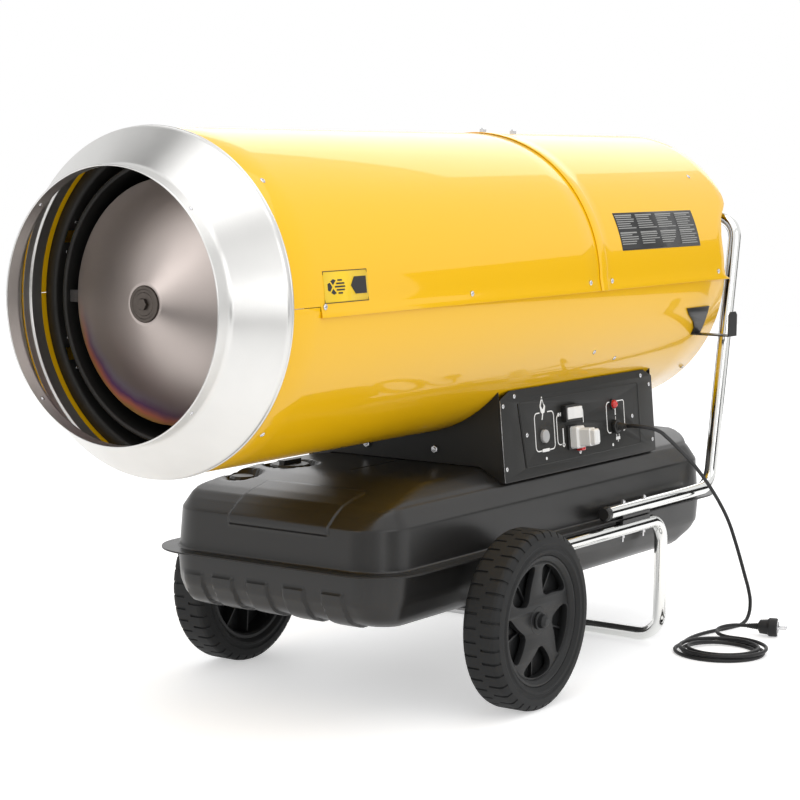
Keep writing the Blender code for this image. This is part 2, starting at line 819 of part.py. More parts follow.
def heat_shield(frame):
    """Black inner duct, flared at both ends to sit in the casing."""
    seat = inside_casing()
    outer = [
        (SHIELD_FRONT, seat),
        (SHIELD_FRONT + SHIELD_SHEET, seat),
        (SHIELD_FRONT + SHIELD_FLARE, SHIELD_RADIUS),
        (SHIELD_REAR - SHIELD_FLARE, SHIELD_RADIUS),
        (SHIELD_REAR - SHIELD_SHEET, seat),
        (SHIELD_REAR, seat),
    ]
    inside = SHIELD_RADIUS - SHIELD_SHEET
    inner = [
        (SHIELD_REAR - SHIELD_FLARE + SHIELD_SHEET / 2, inside),
        (SHIELD_FRONT + SHIELD_FLARE - SHIELD_SHEET / 2, inside),
    ]
    form = turned(outer + inner, INNER_STEPS)
    add("inner_shield", form, FINISH["chamber"], frame, (0, 0, BARREL_HEIGHT))


def combustion_chamber(frame):
    """Steel chamber: rolled front rim, pierced rear plate, and arms that carry it in the duct."""
    rim = (CHAMBER_FRONT + CHAMBER_ROLL, CHAMBER_RADIUS)
    bead = arc(rim, CHAMBER_ROLL, -math.pi / 2, -math.pi * 3 / 2, 3)
    inside = CHAMBER_RADIUS - CHAMBER_SHEET
    profile = [(rim[0] + CHAMBER_ROLL, CHAMBER_RADIUS), (CHAMBER_REAR, CHAMBER_RADIUS)]
    profile += [(CHAMBER_REAR, CHAMBER_MOUTH), (CHAMBER_REAR - CHAMBER_SHEET, CHAMBER_MOUTH)]
    profile += [(CHAMBER_REAR - CHAMBER_SHEET, inside), (rim[0] + CHAMBER_ROLL, inside)]
    form = turned(profile + bead, INNER_STEPS)
    chamber = add("combustion_chamber", form, FINISH["chamber"], frame, (0, 0, BARREL_HEIGHT))
    reach = math.sqrt(
        ((SHIELD_RADIUS - SHIELD_SHEET) * math.cos(math.pi / INNER_STEPS) - SEAT_GAP) ** 2
        - (ARM_WIDTH / 2) ** 2
    )
    arms = []
    for station in (CHAMBER_FRONT + ARM_INSET, CHAMBER_REAR - ARM_INSET):
        for i in range(3):
            arm = block(
                (station, -ARM_WIDTH / 2, inside + CHAMBER_SHEET / 4),
                (station + ARM_LENGTH, ARM_WIDTH / 2, reach),
            )
            arms.append(placed(arm, Matrix.Rotation(math.tau * i / 3, 4, "X")))
    join(chamber, tool("chamber_arms", merged(*arms), frame, (0, 0, BARREL_HEIGHT)))


def flame_deflector(frame):
    """Shallow cone that spreads the flame, its hub bolt, and three straps from the chamber."""
    front = [
        (DEFLECTOR_TIP, DEFLECTOR_FLAT),
        (DEFLECTOR_RIM, DEFLECTOR_RADIUS),
        (DEFLECTOR_RIM + DEFLECTOR_CURL, DEFLECTOR_RADIUS),
    ]
    back = offset_line(front, -DEFLECTOR_SHEET)
    bore = BOLT_SHANK + SEAT_GAP
    profile = [(DEFLECTOR_TIP, bore)] + front + list(reversed(back))
    profile += [(DEFLECTOR_TIP + DEFLECTOR_SHEET, bore)]
    form = turned(profile, INNER_STEPS)
    add("flame_deflector", form, FINISH["hot_steel"], frame, (0, 0, BARREL_HEIGHT))

    face = DEFLECTOR_TIP - SEAT_GAP
    shoulder = face - WASHER_THICK
    tip = shoulder - BOLT_HEAD
    profile = [
        (tip, 0), (tip, BOLT_RADIUS), (shoulder, BOLT_RADIUS), (shoulder, WASHER_RADIUS),
        (face, WASHER_RADIUS), (face, BOLT_SHANK), (face + BOLT_LENGTH, BOLT_SHANK),
        (face + BOLT_LENGTH, 0),
    ]
    form = turned(profile, SMALL_STEPS, closed=False)
    add("deflector_bolt", form, FINISH["hot_steel"], frame, (0, 0, BARREL_HEIGHT))

    wall = (CHAMBER_RADIUS - CHAMBER_SHEET - SEAT_GAP) * math.cos(math.pi / INNER_STEPS)
    sag = wall - math.sqrt(wall**2 - (STRAP_WIDTH / 2) ** 2)
    outer = wall - sag
    front = DEFLECTOR_RIM + DEFLECTOR_CURL + SEAT_GAP
    inner = DEFLECTOR_RADIUS - STRAP_REACH
    outline = [
        (front, inner), (front + STRAP_SHEET, inner), (front + STRAP_SHEET, outer - STRAP_SHEET),
        (front + STRAP_FOOT, outer - STRAP_SHEET), (front + STRAP_FOOT, outer), (front, outer),
    ]
    for i in range(3):
        form = sideways(extruded(outline, STRAP_WIDTH))
        bmesh.ops.translate(form, verts=form.verts, vec=(0, -STRAP_WIDTH / 2, 0))
        placed(form, Matrix.Rotation(-math.pi / 2 + math.tau * i / 3, 4, "X"))
        add(f"deflector_strap_{i + 1}", form, FINISH["chamber"], frame, (0, 0, BARREL_HEIGHT))


def burner(frame):
    """Burner head in the chamber's rear plate, with the nozzle and the ignition electrodes."""
    rear = CHAMBER_REAR + SEAT_GAP + HEAD_LIP_THICK
    cup = (CHAMBER_MOUTH - SEAT_GAP * 2) * math.cos(math.pi / INNER_STEPS)
    floor = CHAMBER_REAR - HEAD_DEPTH
    profile = [
        (floor, HEAD_BORE), (floor, cup), (CHAMBER_REAR + SEAT_GAP, cup),
        (CHAMBER_REAR + SEAT_GAP, cup + HEAD_LIP), (rear, cup + HEAD_LIP),
        (rear, cup - HEAD_SHEET), (floor + HEAD_SHEET, cup - HEAD_SHEET),
        (floor + HEAD_SHEET, HEAD_BORE),
    ]
    head = add("burner_head", turned(profile, SMALL_STEPS * 2), FINISH["steel"], frame,
               (0, 0, BARREL_HEIGHT))
    slots = []
    for i in range(SWIRL_SLOTS):
        slot = block(
            (floor - CUT_OVERRUN, -SLOT_WIDTH / 2, SLOT_INNER),
            (floor + HEAD_SHEET + CUT_OVERRUN, SLOT_WIDTH / 2, SLOT_OUTER),
        )
        slots.append(placed(slot, Matrix.Rotation(math.tau * i / SWIRL_SLOTS, 4, "X")))
    cut(head, tool("swirl_slots", merged(*slots), frame, (0, 0, BARREL_HEIGHT)))

    tip = floor - NOZZLE_REACH
    stem = HEAD_BORE - SEAT_GAP * 2
    collar = floor + HEAD_SHEET + SEAT_GAP
    profile = [
        (tip, 0), (tip, NOZZLE_TIP), (floor - NOZZLE_TIP, stem), (collar, stem),
        (collar, NOZZLE_COLLAR), (collar + NOZZLE_COLLAR_THICK, NOZZLE_COLLAR),
        (collar + NOZZLE_COLLAR_THICK, NOZZLE_RADIUS), (tip + NOZZLE_LENGTH, NOZZLE_RADIUS),
        (tip + NOZZLE_LENGTH, 0),
    ]
    form = turned(profile, SMALL_STEPS, closed=False)
    add("oil_nozzle", form, FINISH["brass"], frame, (0, 0, BARREL_HEIGHT))

    start = floor + HEAD_SHEET + SEAT_GAP
    rods = []
    holes = []
    for side in (-1, 1):
        profile = [
            (floor - ELECTRODE_TIP, 0), (floor - ELECTRODE_TIP, ELECTRODE_WIRE),
            (floor - SEAT_GAP, ELECTRODE_WIRE), (start, ELECTRODE_WIRE),
            (start, ELECTRODE_RADIUS), (start + ELECTRODE_LENGTH, ELECTRODE_RADIUS),
            (start + ELECTRODE_LENGTH, 0),
        ]
        spot = Matrix.Translation((0, side * ELECTRODE_SPREAD, ELECTRODE_RISE))
        rods.append(placed(turned(profile, TINY_STEPS, closed=False), spot))
        hole = [
            (floor - CUT_OVERRUN, 0), (floor - CUT_OVERRUN, ELECTRODE_WIRE + RUNNING_GAP),
            (start + CUT_OVERRUN, ELECTRODE_WIRE + RUNNING_GAP), (start + CUT_OVERRUN, 0),
        ]
        holes.append(placed(turned(hole, TINY_STEPS, closed=False), spot))
    cut(head, tool("electrode_holes", merged(*holes), frame, (0, 0, BARREL_HEIGHT)))
    clamp = block(
        (start + ELECTRODE_LENGTH / 2, -ELECTRODE_SPREAD - ELECTRODE_CLAMP,
         ELECTRODE_RISE - ELECTRODE_RADIUS / 2),
        (start + ELECTRODE_LENGTH / 2 + ELECTRODE_CLAMP, ELECTRODE_SPREAD + ELECTRODE_CLAMP,
         ELECTRODE_RISE + ELECTRODE_CLAMP),
    )
    electrodes = add("ignition_electrodes", clamp, FINISH["porcelain"], frame,
                     (0, 0, BARREL_HEIGHT))
    join(electrodes, tool("electrode_rods", merged(*rods), frame, (0, 0, BARREL_HEIGHT)))


def motor(frame):
    """Fan motor on its cradle, with the fuel pump on its front end."""
    rear = MOTOR_FRONT + MOTOR_LENGTH
    nose = rear + MOTOR_NOSE_LENGTH
    bore = (SHAFT_RADIUS + RUNNING_GAP) / math.cos(math.pi / SMALL_STEPS)
    profile = [
        (MOTOR_FRONT, 0), (MOTOR_FRONT, PUMP_FLANGE),
        (MOTOR_FRONT + MOTOR_BELL / 3, MOTOR_RADIUS - MOTOR_FIN * 3),
        (MOTOR_FRONT + MOTOR_BELL, MOTOR_RADIUS),
    ]
    body = MOTOR_LENGTH - 2 * MOTOR_BELL
    for i in range(MOTOR_FINS):
        start = MOTOR_FRONT + MOTOR_BELL + body * (i + 0.25) / MOTOR_FINS
        end = MOTOR_FRONT + MOTOR_BELL + body * (i + 0.75) / MOTOR_FINS
        profile += [
            (start, MOTOR_RADIUS), (start, MOTOR_RADIUS - MOTOR_FIN),
            (end, MOTOR_RADIUS - MOTOR_FIN), (end, MOTOR_RADIUS),
        ]
    profile += [
        (rear - MOTOR_BELL, MOTOR_RADIUS), (rear - MOTOR_BELL / 3, MOTOR_RADIUS - MOTOR_FIN * 3),
        (rear, MOTOR_NOSE), (nose, MOTOR_NOSE), (nose, bore),
        (nose - SHAFT_ENTRY, bore), (nose - SHAFT_ENTRY, 0),
    ]
    form = turned(profile, SMALL_STEPS, closed=False)
    add("fan_motor", form, FINISH["motor"], frame, (0, 0, BARREL_HEIGHT))

    seat = (MOTOR_RADIUS + SEAT_GAP) / math.cos(math.pi / SMALL_STEPS / 2)
    shell = inside_casing()
    spread = math.asin(CRADLE_HALF_WIDTH / shell)
    hold = math.asin(CRADLE_HALF_WIDTH / seat)
    down = -math.pi / 2
    outline = arc((0, 0), shell, down - spread, down + spread, 8)
    outline += arc((0, 0), seat, down + hold, down - hold, 8)
    cradle = across(extruded(outline, CRADLE_LENGTH))
    start = MOTOR_FRONT + CRADLE_SETBACK
    made = add("motor_cradle", cradle, FINISH["black"], frame, (start, 0, BARREL_HEIGHT))
    window = [
        (-CRADLE_HALF_WIDTH + CRADLE_WALL, -shell + CRADLE_WALL * 2),
        (CRADLE_HALF_WIDTH - CRADLE_WALL, -shell + CRADLE_WALL * 2),
        (CRADLE_HALF_WIDTH - CRADLE_WALL, -seat - CRADLE_WALL),
        (-CRADLE_HALF_WIDTH + CRADLE_WALL, -seat - CRADLE_WALL),
    ]
    opening = across(extruded(window, CRADLE_LENGTH + 2 * CUT_OVERRUN))
    cut(made, tool("cradle_window", opening, frame, (start - CUT_OVERRUN, 0, BARREL_HEIGHT)))

    back = MOTOR_FRONT - SEAT_GAP
    front = back - PUMP_LENGTH
    profile = [
        (front, 0), (front, PUMP_RADIUS * 0.7), (front + PUMP_FLANGE_THICK, PUMP_RADIUS),
        (back - PUMP_FLANGE_THICK, PUMP_RADIUS), (back - PUMP_FLANGE_THICK, PUMP_FLANGE),
        (back, PUMP_FLANGE), (back, 0),
    ]
    pump = add("fuel_pump", turned(profile, SMALL_STEPS, closed=False), FINISH["steel"], frame,
               (0, 0, BARREL_HEIGHT))
    valve = upright(turned(
        [(0, 0), (0, PUMP_VALVE_RADIUS), (PUMP_VALVE_HEIGHT, PUMP_VALVE_RADIUS),
         (PUMP_VALVE_HEIGHT, 0)],
        TINY_STEPS, closed=False,
    ))
    join(pump, tool("pump_valve", valve, frame, (front + PUMP_LENGTH / 2, 0, BARREL_HEIGHT)))


def fan_blade(root, tip, steps):
    """One twisted blade standing along +Z, its pitch easing from root to tip."""
    rings = []
    for i in range(steps + 1):
        share = i / steps
        radius = root + (tip - root) * share
        pitch = BLADE_ROOT_PITCH + (BLADE_TIP_PITCH - BLADE_ROOT_PITCH) * share
        swell = math.sin(math.pi * (0.15 + 0.6 * share))
        half = BLADE_CHORD * (BLADE_ROOT_SHARE + BLADE_SWELL_SHARE * swell)
        chord = Vector((math.sin(pitch), math.cos(pitch))) * half
        normal = Vector((math.cos(pitch), -math.sin(pitch))) * BLADE_THICK / 2
        bow = normal * 4
        ring = []
        for along, side in ((-1, 1), (0, 1), (1, 1), (1, -1), (0, -1), (-1, -1)):
            spot = chord * along + normal * side + bow * (1 - along**2) - bow / 2
            height = math.sqrt(radius**2 - min(abs(spot.y), radius) ** 2)
            ring.append((spot.x, spot.y, height))
        rings.append(ring)
    return lofted(rings)


def fan_rotor(frame):
    """Axial fan on the motor's shaft; both turn together about the barrel's axis."""
    pivot = empty("fan_pivot", frame, (FAN_FRONT, 0, BARREL_HEIGHT))
    start = MOTOR_FRONT + MOTOR_LENGTH + MOTOR_NOSE_LENGTH - SHAFT_ENTRY + SEAT_GAP - FAN_FRONT
    end = SHAFT_REAR - FAN_FRONT
    profile = [(start, 0), (start, SHAFT_RADIUS), (end, SHAFT_RADIUS), (end, 0)]
    add("motor_shaft", turned(profile, SMALL_STEPS, closed=False), FINISH["steel"], pivot)

    bore = (SHAFT_RADIUS + SEAT_GAP) / math.cos(math.pi / SMALL_STEPS)
    ease = BLADE_THICK
    profile = [
        (0, bore), (0, FAN_HUB - ease), (ease, FAN_HUB), (FAN_DEPTH - ease * 2, FAN_HUB),
        (FAN_DEPTH, FAN_HUB - ease * 2), (FAN_DEPTH, bore),
    ]
    fan = add("fan", turned(profile, SMALL_STEPS), FINISH["fan"], pivot)
    blades = []
    for i in range(FAN_BLADES):
        blade = fan_blade(FAN_HUB - ease, FAN_RADIUS, 3)
        bmesh.ops.translate(blade, verts=blade.verts, vec=(FAN_DEPTH / 2, 0, 0))
        blades.append(placed(blade, Matrix.Rotation(math.tau * i / FAN_BLADES, 4, "X")))
    join(fan, tool("fan_blades", merged(*blades), pivot))


def fan_guard(frame):
    """Wire guard over the air intake: rings on radial wires, closed by a boss."""
    outer = inside_casing() - GUARD_WIRE
    rings = []
    for i in range(GUARD_RINGS):
        radius = GUARD_BOSS + (outer - GUARD_BOSS) * (i + 1) / GUARD_RINGS
        wire = [
            (GUARD_WIRE, radius), (0, radius + GUARD_WIRE),
            (-GUARD_WIRE, radius), (0, radius - GUARD_WIRE),
        ]
        rings.append(turned(wire, INNER_STEPS if i == GUARD_RINGS - 1 else SMALL_STEPS))
    boss = [(-GUARD_WIRE, 0), (-GUARD_WIRE, GUARD_BOSS), (GUARD_WIRE, GUARD_BOSS), (GUARD_WIRE, 0)]
    guard = add("fan_guard", turned(boss, SMALL_STEPS, closed=False), FINISH["black"], frame,
                (GUARD_STATION, 0, BARREL_HEIGHT))
    spokes = []
    for i in range(GUARD_SPOKES):
        spoke = block(
            (-GUARD_WIRE / 2, -GUARD_WIRE, GUARD_BOSS - GUARD_WIRE),
            (GUARD_WIRE / 2, GUARD_WIRE, outer),
        )
        turn = math.tau * (i + 0.5) / GUARD_SPOKES
        spokes.append(placed(spoke, Matrix.Rotation(turn, 4, "X")))
    place = (GUARD_STATION, 0, BARREL_HEIGHT)
    join(guard, tool("guard_spokes", merged(*spokes), frame, place))
    join(guard, tool("guard_rings", merged(*rings), frame, place))


def tank_ring(inset, height, side_share=1.0):
    """A rounded outline of the tank in plan, at one height; its corners stay concentric."""
    side = inset * side_share
    corner = max(TANK_CORNER - inset, TANK_CORNER / 2)
    low = (TANK_FRONT + inset, -TANK_HALF_WIDTH + side)
    high = (TANK_REAR - inset, TANK_HALF_WIDTH - side)
    return [(x, y, height) for x, y in rounded_rectangle(low, high, corner, 4)]


def tank_bottom(inset, height):
    """A ring of the lower half, steeper at the sides; the floor rises towards the rear end."""
    ring = []
    start = TANK_REAR - BOTTOM_REAR_RUN
    side_share = min(1, (BELLY_INSET + (inset - BELLY_INSET) / 2) / max(inset, WELD))
    for x, y, z in tank_ring(inset, height, side_share):
        share = max(x - start, 0) / BOTTOM_REAR_RUN
        depth = max(BELLY_HEIGHT - height, 0) / (BELLY_HEIGHT - BOTTOM_HEIGHT)
        ring.append((x, y, z + BOTTOM_REAR_RISE * depth * share))
    return ring


def pressed_half(levels, wall, maker):
    """A pressed tray with a flat rim: rings outside, and the same rings one wall in."""
    outer = [maker(inset, height) for inset, height in levels]
    lift = math.copysign(wall, levels[1][1] - levels[-1][1])
    inner = [maker(inset + wall, height + lift) for inset, height in levels[2:]]
    foot_inset, rim_height = levels[2][0] + wall, levels[0][1]
    inner = [maker(foot_inset, rim_height)] + inner[1:]
    return lofted(list(reversed(inner)) + outer, banded=True)


def grown_hull(levels, growth, maker):
    """A solid the shape of a tray's outside, from its rim to its end, grown all round."""
    end_lift = growth if levels[-1][1] > levels[0][1] else -growth
    rings = [maker(inset - growth, height) for inset, height in levels[2:-1]]
    inset, height = levels[-1]
    return lofted(rings + [maker(inset - growth, height + end_lift)], banded=True)


def embossed(target, name, levels, proud, maker, slabs, frame):
    """Raises the parts of a tray that lie inside the slabs, without filling the tray."""
    raised = tool(name, grown_hull(levels, proud, maker), frame)
    boolean(raised, tool(f"{name}_slabs", slabs, frame), "INTERSECT")
    inside = grown_hull(levels, -TANK_SHEET / 2, maker)
    cut(raised, tool(f"{name}_inside", inside, frame))
    join(target, raised)


def tank(frame):
    """Fuel tank: upper and lower pressings that meet at a flange, filler, gauge and drain."""
    seam = TANK_FLANGE_HEIGHT
    half_gap = SEAT_GAP / 2
    levels = [
        (0, seam + half_gap), (0, seam + TANK_SHEET), (TANK_RIM, seam + TANK_SHEET),
        (CREASE_INSET, CREASE_HEIGHT), (PLATEAU_INSET, PLATEAU_HEIGHT - PLATEAU_EASE),
        (PLATEAU_INSET + PLATEAU_EASE, PLATEAU_HEIGHT),
    ]
    upper = add("tank_upper", pressed_half(levels, TANK_SHEET, tank_ring), FINISH["tank"], frame)

    deck = deck_rows(0, PLATEAU_HEIGHT - TANK_SHEET / 2, RAISED_HEIGHT)
    join(upper, tool("raised_deck", lofted(deck), frame))
    hollow = deck_rows(TANK_SHEET, PLATEAU_HEIGHT - TANK_SHEET * 3, RAISED_HEIGHT - TANK_SHEET)
    cut(upper, tool("deck_hollow", lofted(hollow), frame))

    slab = block(
        (TANK_FRONT, PAD_OFFSET - PAD_FRONT_WIDTH / 2, CREASE_HEIGHT + PAD_OFFSET / 4),
        (TANK_FRONT + PLATEAU_INSET + PAD_DEPTH, PAD_OFFSET + PAD_FRONT_WIDTH / 2, RAISED_HEIGHT),
    )
    embossed(upper, "embossed_panel", levels, PAD_PROUD, tank_ring, slab, frame)
    bore = NECK_RADIUS + SEAT_GAP
    drill = upright(turned([(0, 0), (0, bore), (RAISED_HEIGHT, bore), (RAISED_HEIGHT, 0)],
                           SMALL_STEPS, closed=False))
    cut(upper, tool("filler_hole", drill, frame, (FILLER_STATION, FILLER_SIDE, seam + TANK_RIM)))

    levels = [
        (0, seam - half_gap), (0, seam - TANK_SHEET), (TANK_RIM, seam - TANK_SHEET),
        (BELLY_INSET, BELLY_HEIGHT), (BILGE_INSET, BILGE_HEIGHT), (BOTTOM_INSET, BOTTOM_HEIGHT),
    ]
    lower = add("tank_lower", pressed_half(levels, TANK_SHEET, tank_bottom), FINISH["tank"], frame)
    slabs = []
    for i in range(RIBS):
        middle = (i - (RIBS - 1) / 2) * RIB_PITCH + RIB_SHIFT
        slabs.append(block(
            (TANK_FRONT, middle - RIB_WIDTH / 2, BOTTOM_HEIGHT - TANK_RIM),
            (TANK_FRONT + BOTTOM_INSET + RIB_RUN, middle + RIB_WIDTH / 2, RIB_TOP),
        ))
    embossed(lower, "front_ribs", levels, RIB_PROUD, tank_bottom, merged(*slabs), frame)
    drill = upright(turned(
        [(0, 0), (0, DRAIN_SHANK + SEAT_GAP), (BELLY_HEIGHT, DRAIN_SHANK + SEAT_GAP),
         (BELLY_HEIGHT, 0)], TINY_STEPS, closed=False,
    ))
    cut(lower, tool("drain_hole", drill, frame, (DRAIN_STATION, 0, BOTTOM_HEIGHT / 2)))


def deck_rows(wall, low_height, high_height):
    """Two rings of the raised deck, kept one wall inside its sloping sides."""
    foot, top = RAISED_FOOT_INSET, RAISED_TOP_INSET
    rows = []
    for height in (low_height, high_height):
        share = (height - PLATEAU_HEIGHT) / (RAISED_HEIGHT - PLATEAU_HEIGHT)
        side = TANK_HALF_WIDTH - foot - (top - foot) * share - wall * 2
        low = (RAISED_FRONT + RAISED_SLOPE * share + wall * 2, -side)
        rear = TANK_REAR - RAISED_REAR_INSET - RAISED_REAR_SLOPE * share - wall * 2
        outline = rounded_rectangle(low, (rear, side), PLATEAU_INSET, 3)
        rows.append([(x, y, height) for x, y in outline])
    return rows


def tank_fittings(frame):
    """Filler neck and cap, level gauge, drain plug and the suction line to the pump."""
    deck = PLATEAU_HEIGHT + SEAT_GAP
    bore = NECK_RADIUS - NECK_WALL
    profile = [
        (-NECK_DEPTH, bore), (-NECK_DEPTH, NECK_RADIUS), (0, NECK_RADIUS), (0, NECK_FLANGE),
        (NECK_FLANGE_THICK, NECK_FLANGE), (NECK_FLANGE_THICK, NECK_RADIUS),
        (NECK_HEIGHT, NECK_RADIUS), (NECK_HEIGHT, bore),
    ]
    form = upright(turned(profile, SMALL_STEPS))
    add("filler_neck", form, FINISH["steel"], frame, (FILLER_STATION, FILLER_SIDE, deck))

    base = deck + NECK_FLANGE_THICK + SEAT_GAP * 2
    inside = (NECK_RADIUS + RUNNING_GAP) / math.cos(math.pi / SMALL_STEPS)
    roof = NECK_HEIGHT - NECK_FLANGE_THICK
    pivot = empty("cap_pivot", frame, (FILLER_STATION, FILLER_SIDE, base))
    profile = [
        (0, inside), (0, CAP_RADIUS - CAP_SKIRT), (CAP_SKIRT, CAP_RADIUS),
        (CAP_HEIGHT - CAP_SKIRT, CAP_RADIUS), (CAP_HEIGHT, CAP_RADIUS - CAP_SKIRT),
        (CAP_HEIGHT, 0), (roof, 0), (roof, inside),
    ]
    form = turned([*profile[5::-1], *profile[:5:-1]], SMALL_STEPS, closed=False)
    cap = add("filler_cap", upright(form), FINISH["black"], pivot)
    grip = block(
        (-CAP_GRIP / 2, -CAP_GRIP_WIDTH / 2, CAP_HEIGHT - CAP_SKIRT),
        (CAP_GRIP / 2, CAP_GRIP_WIDTH / 2, CAP_HEIGHT + CAP_GRIP_HEIGHT),
    )
    join(cap, tool("cap_grip", grip, pivot))

    profile = [
        (0, 0), (0, GAUGE_RADIUS), (GAUGE_HEIGHT - GAUGE_DOME, GAUGE_RADIUS),
        (GAUGE_HEIGHT, GAUGE_RADIUS - GAUGE_DOME), (GAUGE_HEIGHT, 0),
    ]
    form = upright(turned(profile, SMALL_STEPS, closed=False))
    add("fuel_gauge", form, FINISH["black"], frame, (GAUGE_STATION, GAUGE_SIDE, deck))

    line = MOTOR_FRONT - SEAT_GAP - PUMP_LENGTH / 2
    pump_under = BARREL_HEIGHT - PUMP_RADIUS - SEAT_GAP
    corners = [
        (line, LINE_SIDE, RAISED_HEIGHT + SEAT_GAP), (line, LINE_SIDE, LINE_LOW_BEND),
        (line, 0, LINE_HIGH_BEND), (line, 0, pump_under),
    ]
    tube_curve("fuel_line", bent_path(corners, LINE_BEND, 3), LINE_RADIUS, 2, FINISH["brass"], frame)

    under = BOTTOM_HEIGHT - SEAT_GAP
    profile = [
        (-DRAIN_HEAD_THICK, 0), (-DRAIN_HEAD_THICK, DRAIN_HEAD), (0, DRAIN_HEAD),
        (0, DRAIN_SHANK), (DRAIN_RADIUS, DRAIN_SHANK), (DRAIN_RADIUS, 0),
    ]
    form = upright(turned(profile, TINY_STEPS, closed=False))
    add("drain_plug", form, FINISH["steel"], frame, (DRAIN_STATION, 0, under))


def box_outline(half_foot, half_top, chamfer):
    """Outline in YZ of a cross plate: the tank's deck below, the barrel's arc above."""
    deck = RAISED_HEIGHT + SEAT_GAP
    shelf = PLATEAU_HEIGHT + SEAT_GAP
    deck_half = TANK_HALF_WIDTH - RAISED_TOP_INSET
    foot_half = TANK_HALF_WIDTH - RAISED_FOOT_INSET + SEAT_GAP
    radius = (BARREL_RADIUS + SEAT_GAP) / math.cos(math.pi / (4 * BARREL_STEPS))
    swing = math.asin(half_top / radius)
    over = arc((0, BARREL_HEIGHT), radius, swing - math.pi / 2, -swing - math.pi / 2, 18)
    lower = [
        (-half_foot, shelf), (-foot_half, shelf), (-deck_half, deck),
        (deck_half, deck), (foot_half, shelf), (half_foot, shelf),
    ]
    share = chamfer / (BOX_TOP_HEIGHT - shelf)
    corner = (half_top + (half_foot - half_top) * share, BOX_TOP_HEIGHT - chamfer)
    return lower + [corner] + over + [(-corner[0], corner[1])]


def panel_space(frame):
    """Empties on the two leaning sides: X along the panel, Y up it and Z out of it."""
    rise = BOX_TOP_HEIGHT - PLATEAU_HEIGHT - SEAT_GAP
    lean = math.atan2(BOX_FOOT_HALF - BOX_TOP_HALF, rise)
    place = (0, -BOX_FOOT_HALF, PLATEAU_HEIGHT + SEAT_GAP)
    face = empty("panel_face", frame, place, (math.pi / 2 - lean, 0, 0))
    place = (0, BOX_FOOT_HALF, PLATEAU_HEIGHT + SEAT_GAP)
    far = empty("far_face", frame, place, (math.pi / 2 + lean, 0, 0))
    return face, far, rise / math.cos(lean)


def panel_outline(slope):
    """Outline of a side panel along its own slope, its upper corners cut."""
    return [
        (BOX_FRONT, 0), (BOX_REAR, 0), (BOX_REAR, slope - BOX_CHAMFER_DROP),
        (BOX_REAR - BOX_CHAMFER, slope), (BOX_FRONT + BOX_CHAMFER, slope),
        (BOX_FRONT, slope - BOX_CHAMFER_DROP),
    ]


def control_box(frame):
    """Folded sheet box under the barrel: two cross plates and two leaning side panels."""
    inset = BOX_SHEET + SEAT_GAP * 2
    outline = box_outline(BOX_FOOT_HALF - inset, BOX_TOP_HALF - inset, BOX_CHAMFER_DROP)
    form = across(extruded(outline, BOX_SHEET))
    add("box_front_plate", form, FINISH["box"], frame, (BOX_FRONT, 0, 0))
    form = across(extruded(outline, BOX_SHEET))
    add("box_rear_plate", form, FINISH["box"], frame, (BOX_REAR - BOX_SHEET, 0, 0))

    face, far, slope = panel_space(frame)
    form = extruded(panel_outline(slope), BOX_SHEET)
    bmesh.ops.translate(form, verts=form.verts, vec=(0, 0, -BOX_SHEET))
    panel = add("control_panel", form, FINISH["box"], face)
    form = extruded(panel_outline(slope), BOX_SHEET)
    add("box_far_panel", form, FINISH["box"], far)
    holes = [round_hole(LAMP_STATION, LAMP_RISE, LAMP_RADIUS)]
    holes += [round_hole(RESET_STATION, RESET_RISE, RESET_RADIUS)]
    holes += [round_hole(GLAND_STATION, GLAND_RISE, GLAND_STEM)]
    holes += [square_hole(SWITCH_STATION, SWITCH_RISE, SWITCH_WIDTH, SWITCH_HEIGHT, SWITCH_WALL / 2)]
    holes += [square_hole(SOCKET_STATION, SOCKET_RISE, SOCKET_WIDTH, SOCKET_HEIGHT, SWITCH_WALL)]
    cut(panel, tool("panel_holes", merged(*holes), face))
    return face


def transformer(frame):
    """Ignition transformer on the tank's deck inside the box, with two insulated terminals."""
    low, half = TRANSFORMER_SIDE, TRANSFORMER_HEIGHT / 2
    form = block(
        (0, low, 0), (TRANSFORMER_LENGTH, low + TRANSFORMER_WIDTH, TRANSFORMER_HEIGHT)
    )
    place = (TRANSFORMER_FRONT, 0, RAISED_HEIGHT + SEAT_GAP)
    body = add("ignition_transformer", form, FINISH["motor"], frame, place)
    terminals = []
    for share in (0.25, 0.75):
        profile = [
            (-TERMINAL_LENGTH, 0), (-TERMINAL_LENGTH, TERMINAL_RADIUS),
            (CUT_OVERRUN, TERMINAL_RADIUS), (CUT_OVERRUN, 0),
        ]
        spot = Matrix.Translation((0, low + TRANSFORMER_WIDTH * share, half))
        terminals.append(placed(turned(profile, TINY_STEPS, closed=False), spot))
    join(body, tool("terminals", merged(*terminals), frame, place))


def round_hole(station, rise, radius):
    """A cutter through the panel for a round fitting."""
    across_flats = (radius + SEAT_GAP) / math.cos(math.pi / SMALL_STEPS)
    deep = BOX_SHEET + CUT_OVERRUN
    profile = [(-deep, 0), (-deep, across_flats), (CUT_OVERRUN, across_flats), (CUT_OVERRUN, 0)]
    form = upright(turned(profile, SMALL_STEPS, closed=False))
    return placed(form, Matrix.Translation((station, rise, 0)))


def square_hole(station, rise, width, height, margin):
    """A cutter through the panel for a fitting whose face overlaps the hole by a margin."""
    half_w, half_h = width / 2 - margin + SEAT_GAP, height / 2 - margin + SEAT_GAP
    deep = BOX_SHEET + CUT_OVERRUN
    return block((station - half_w, rise - half_h, -deep), (station + half_w, rise + half_h, CUT_OVERRUN))


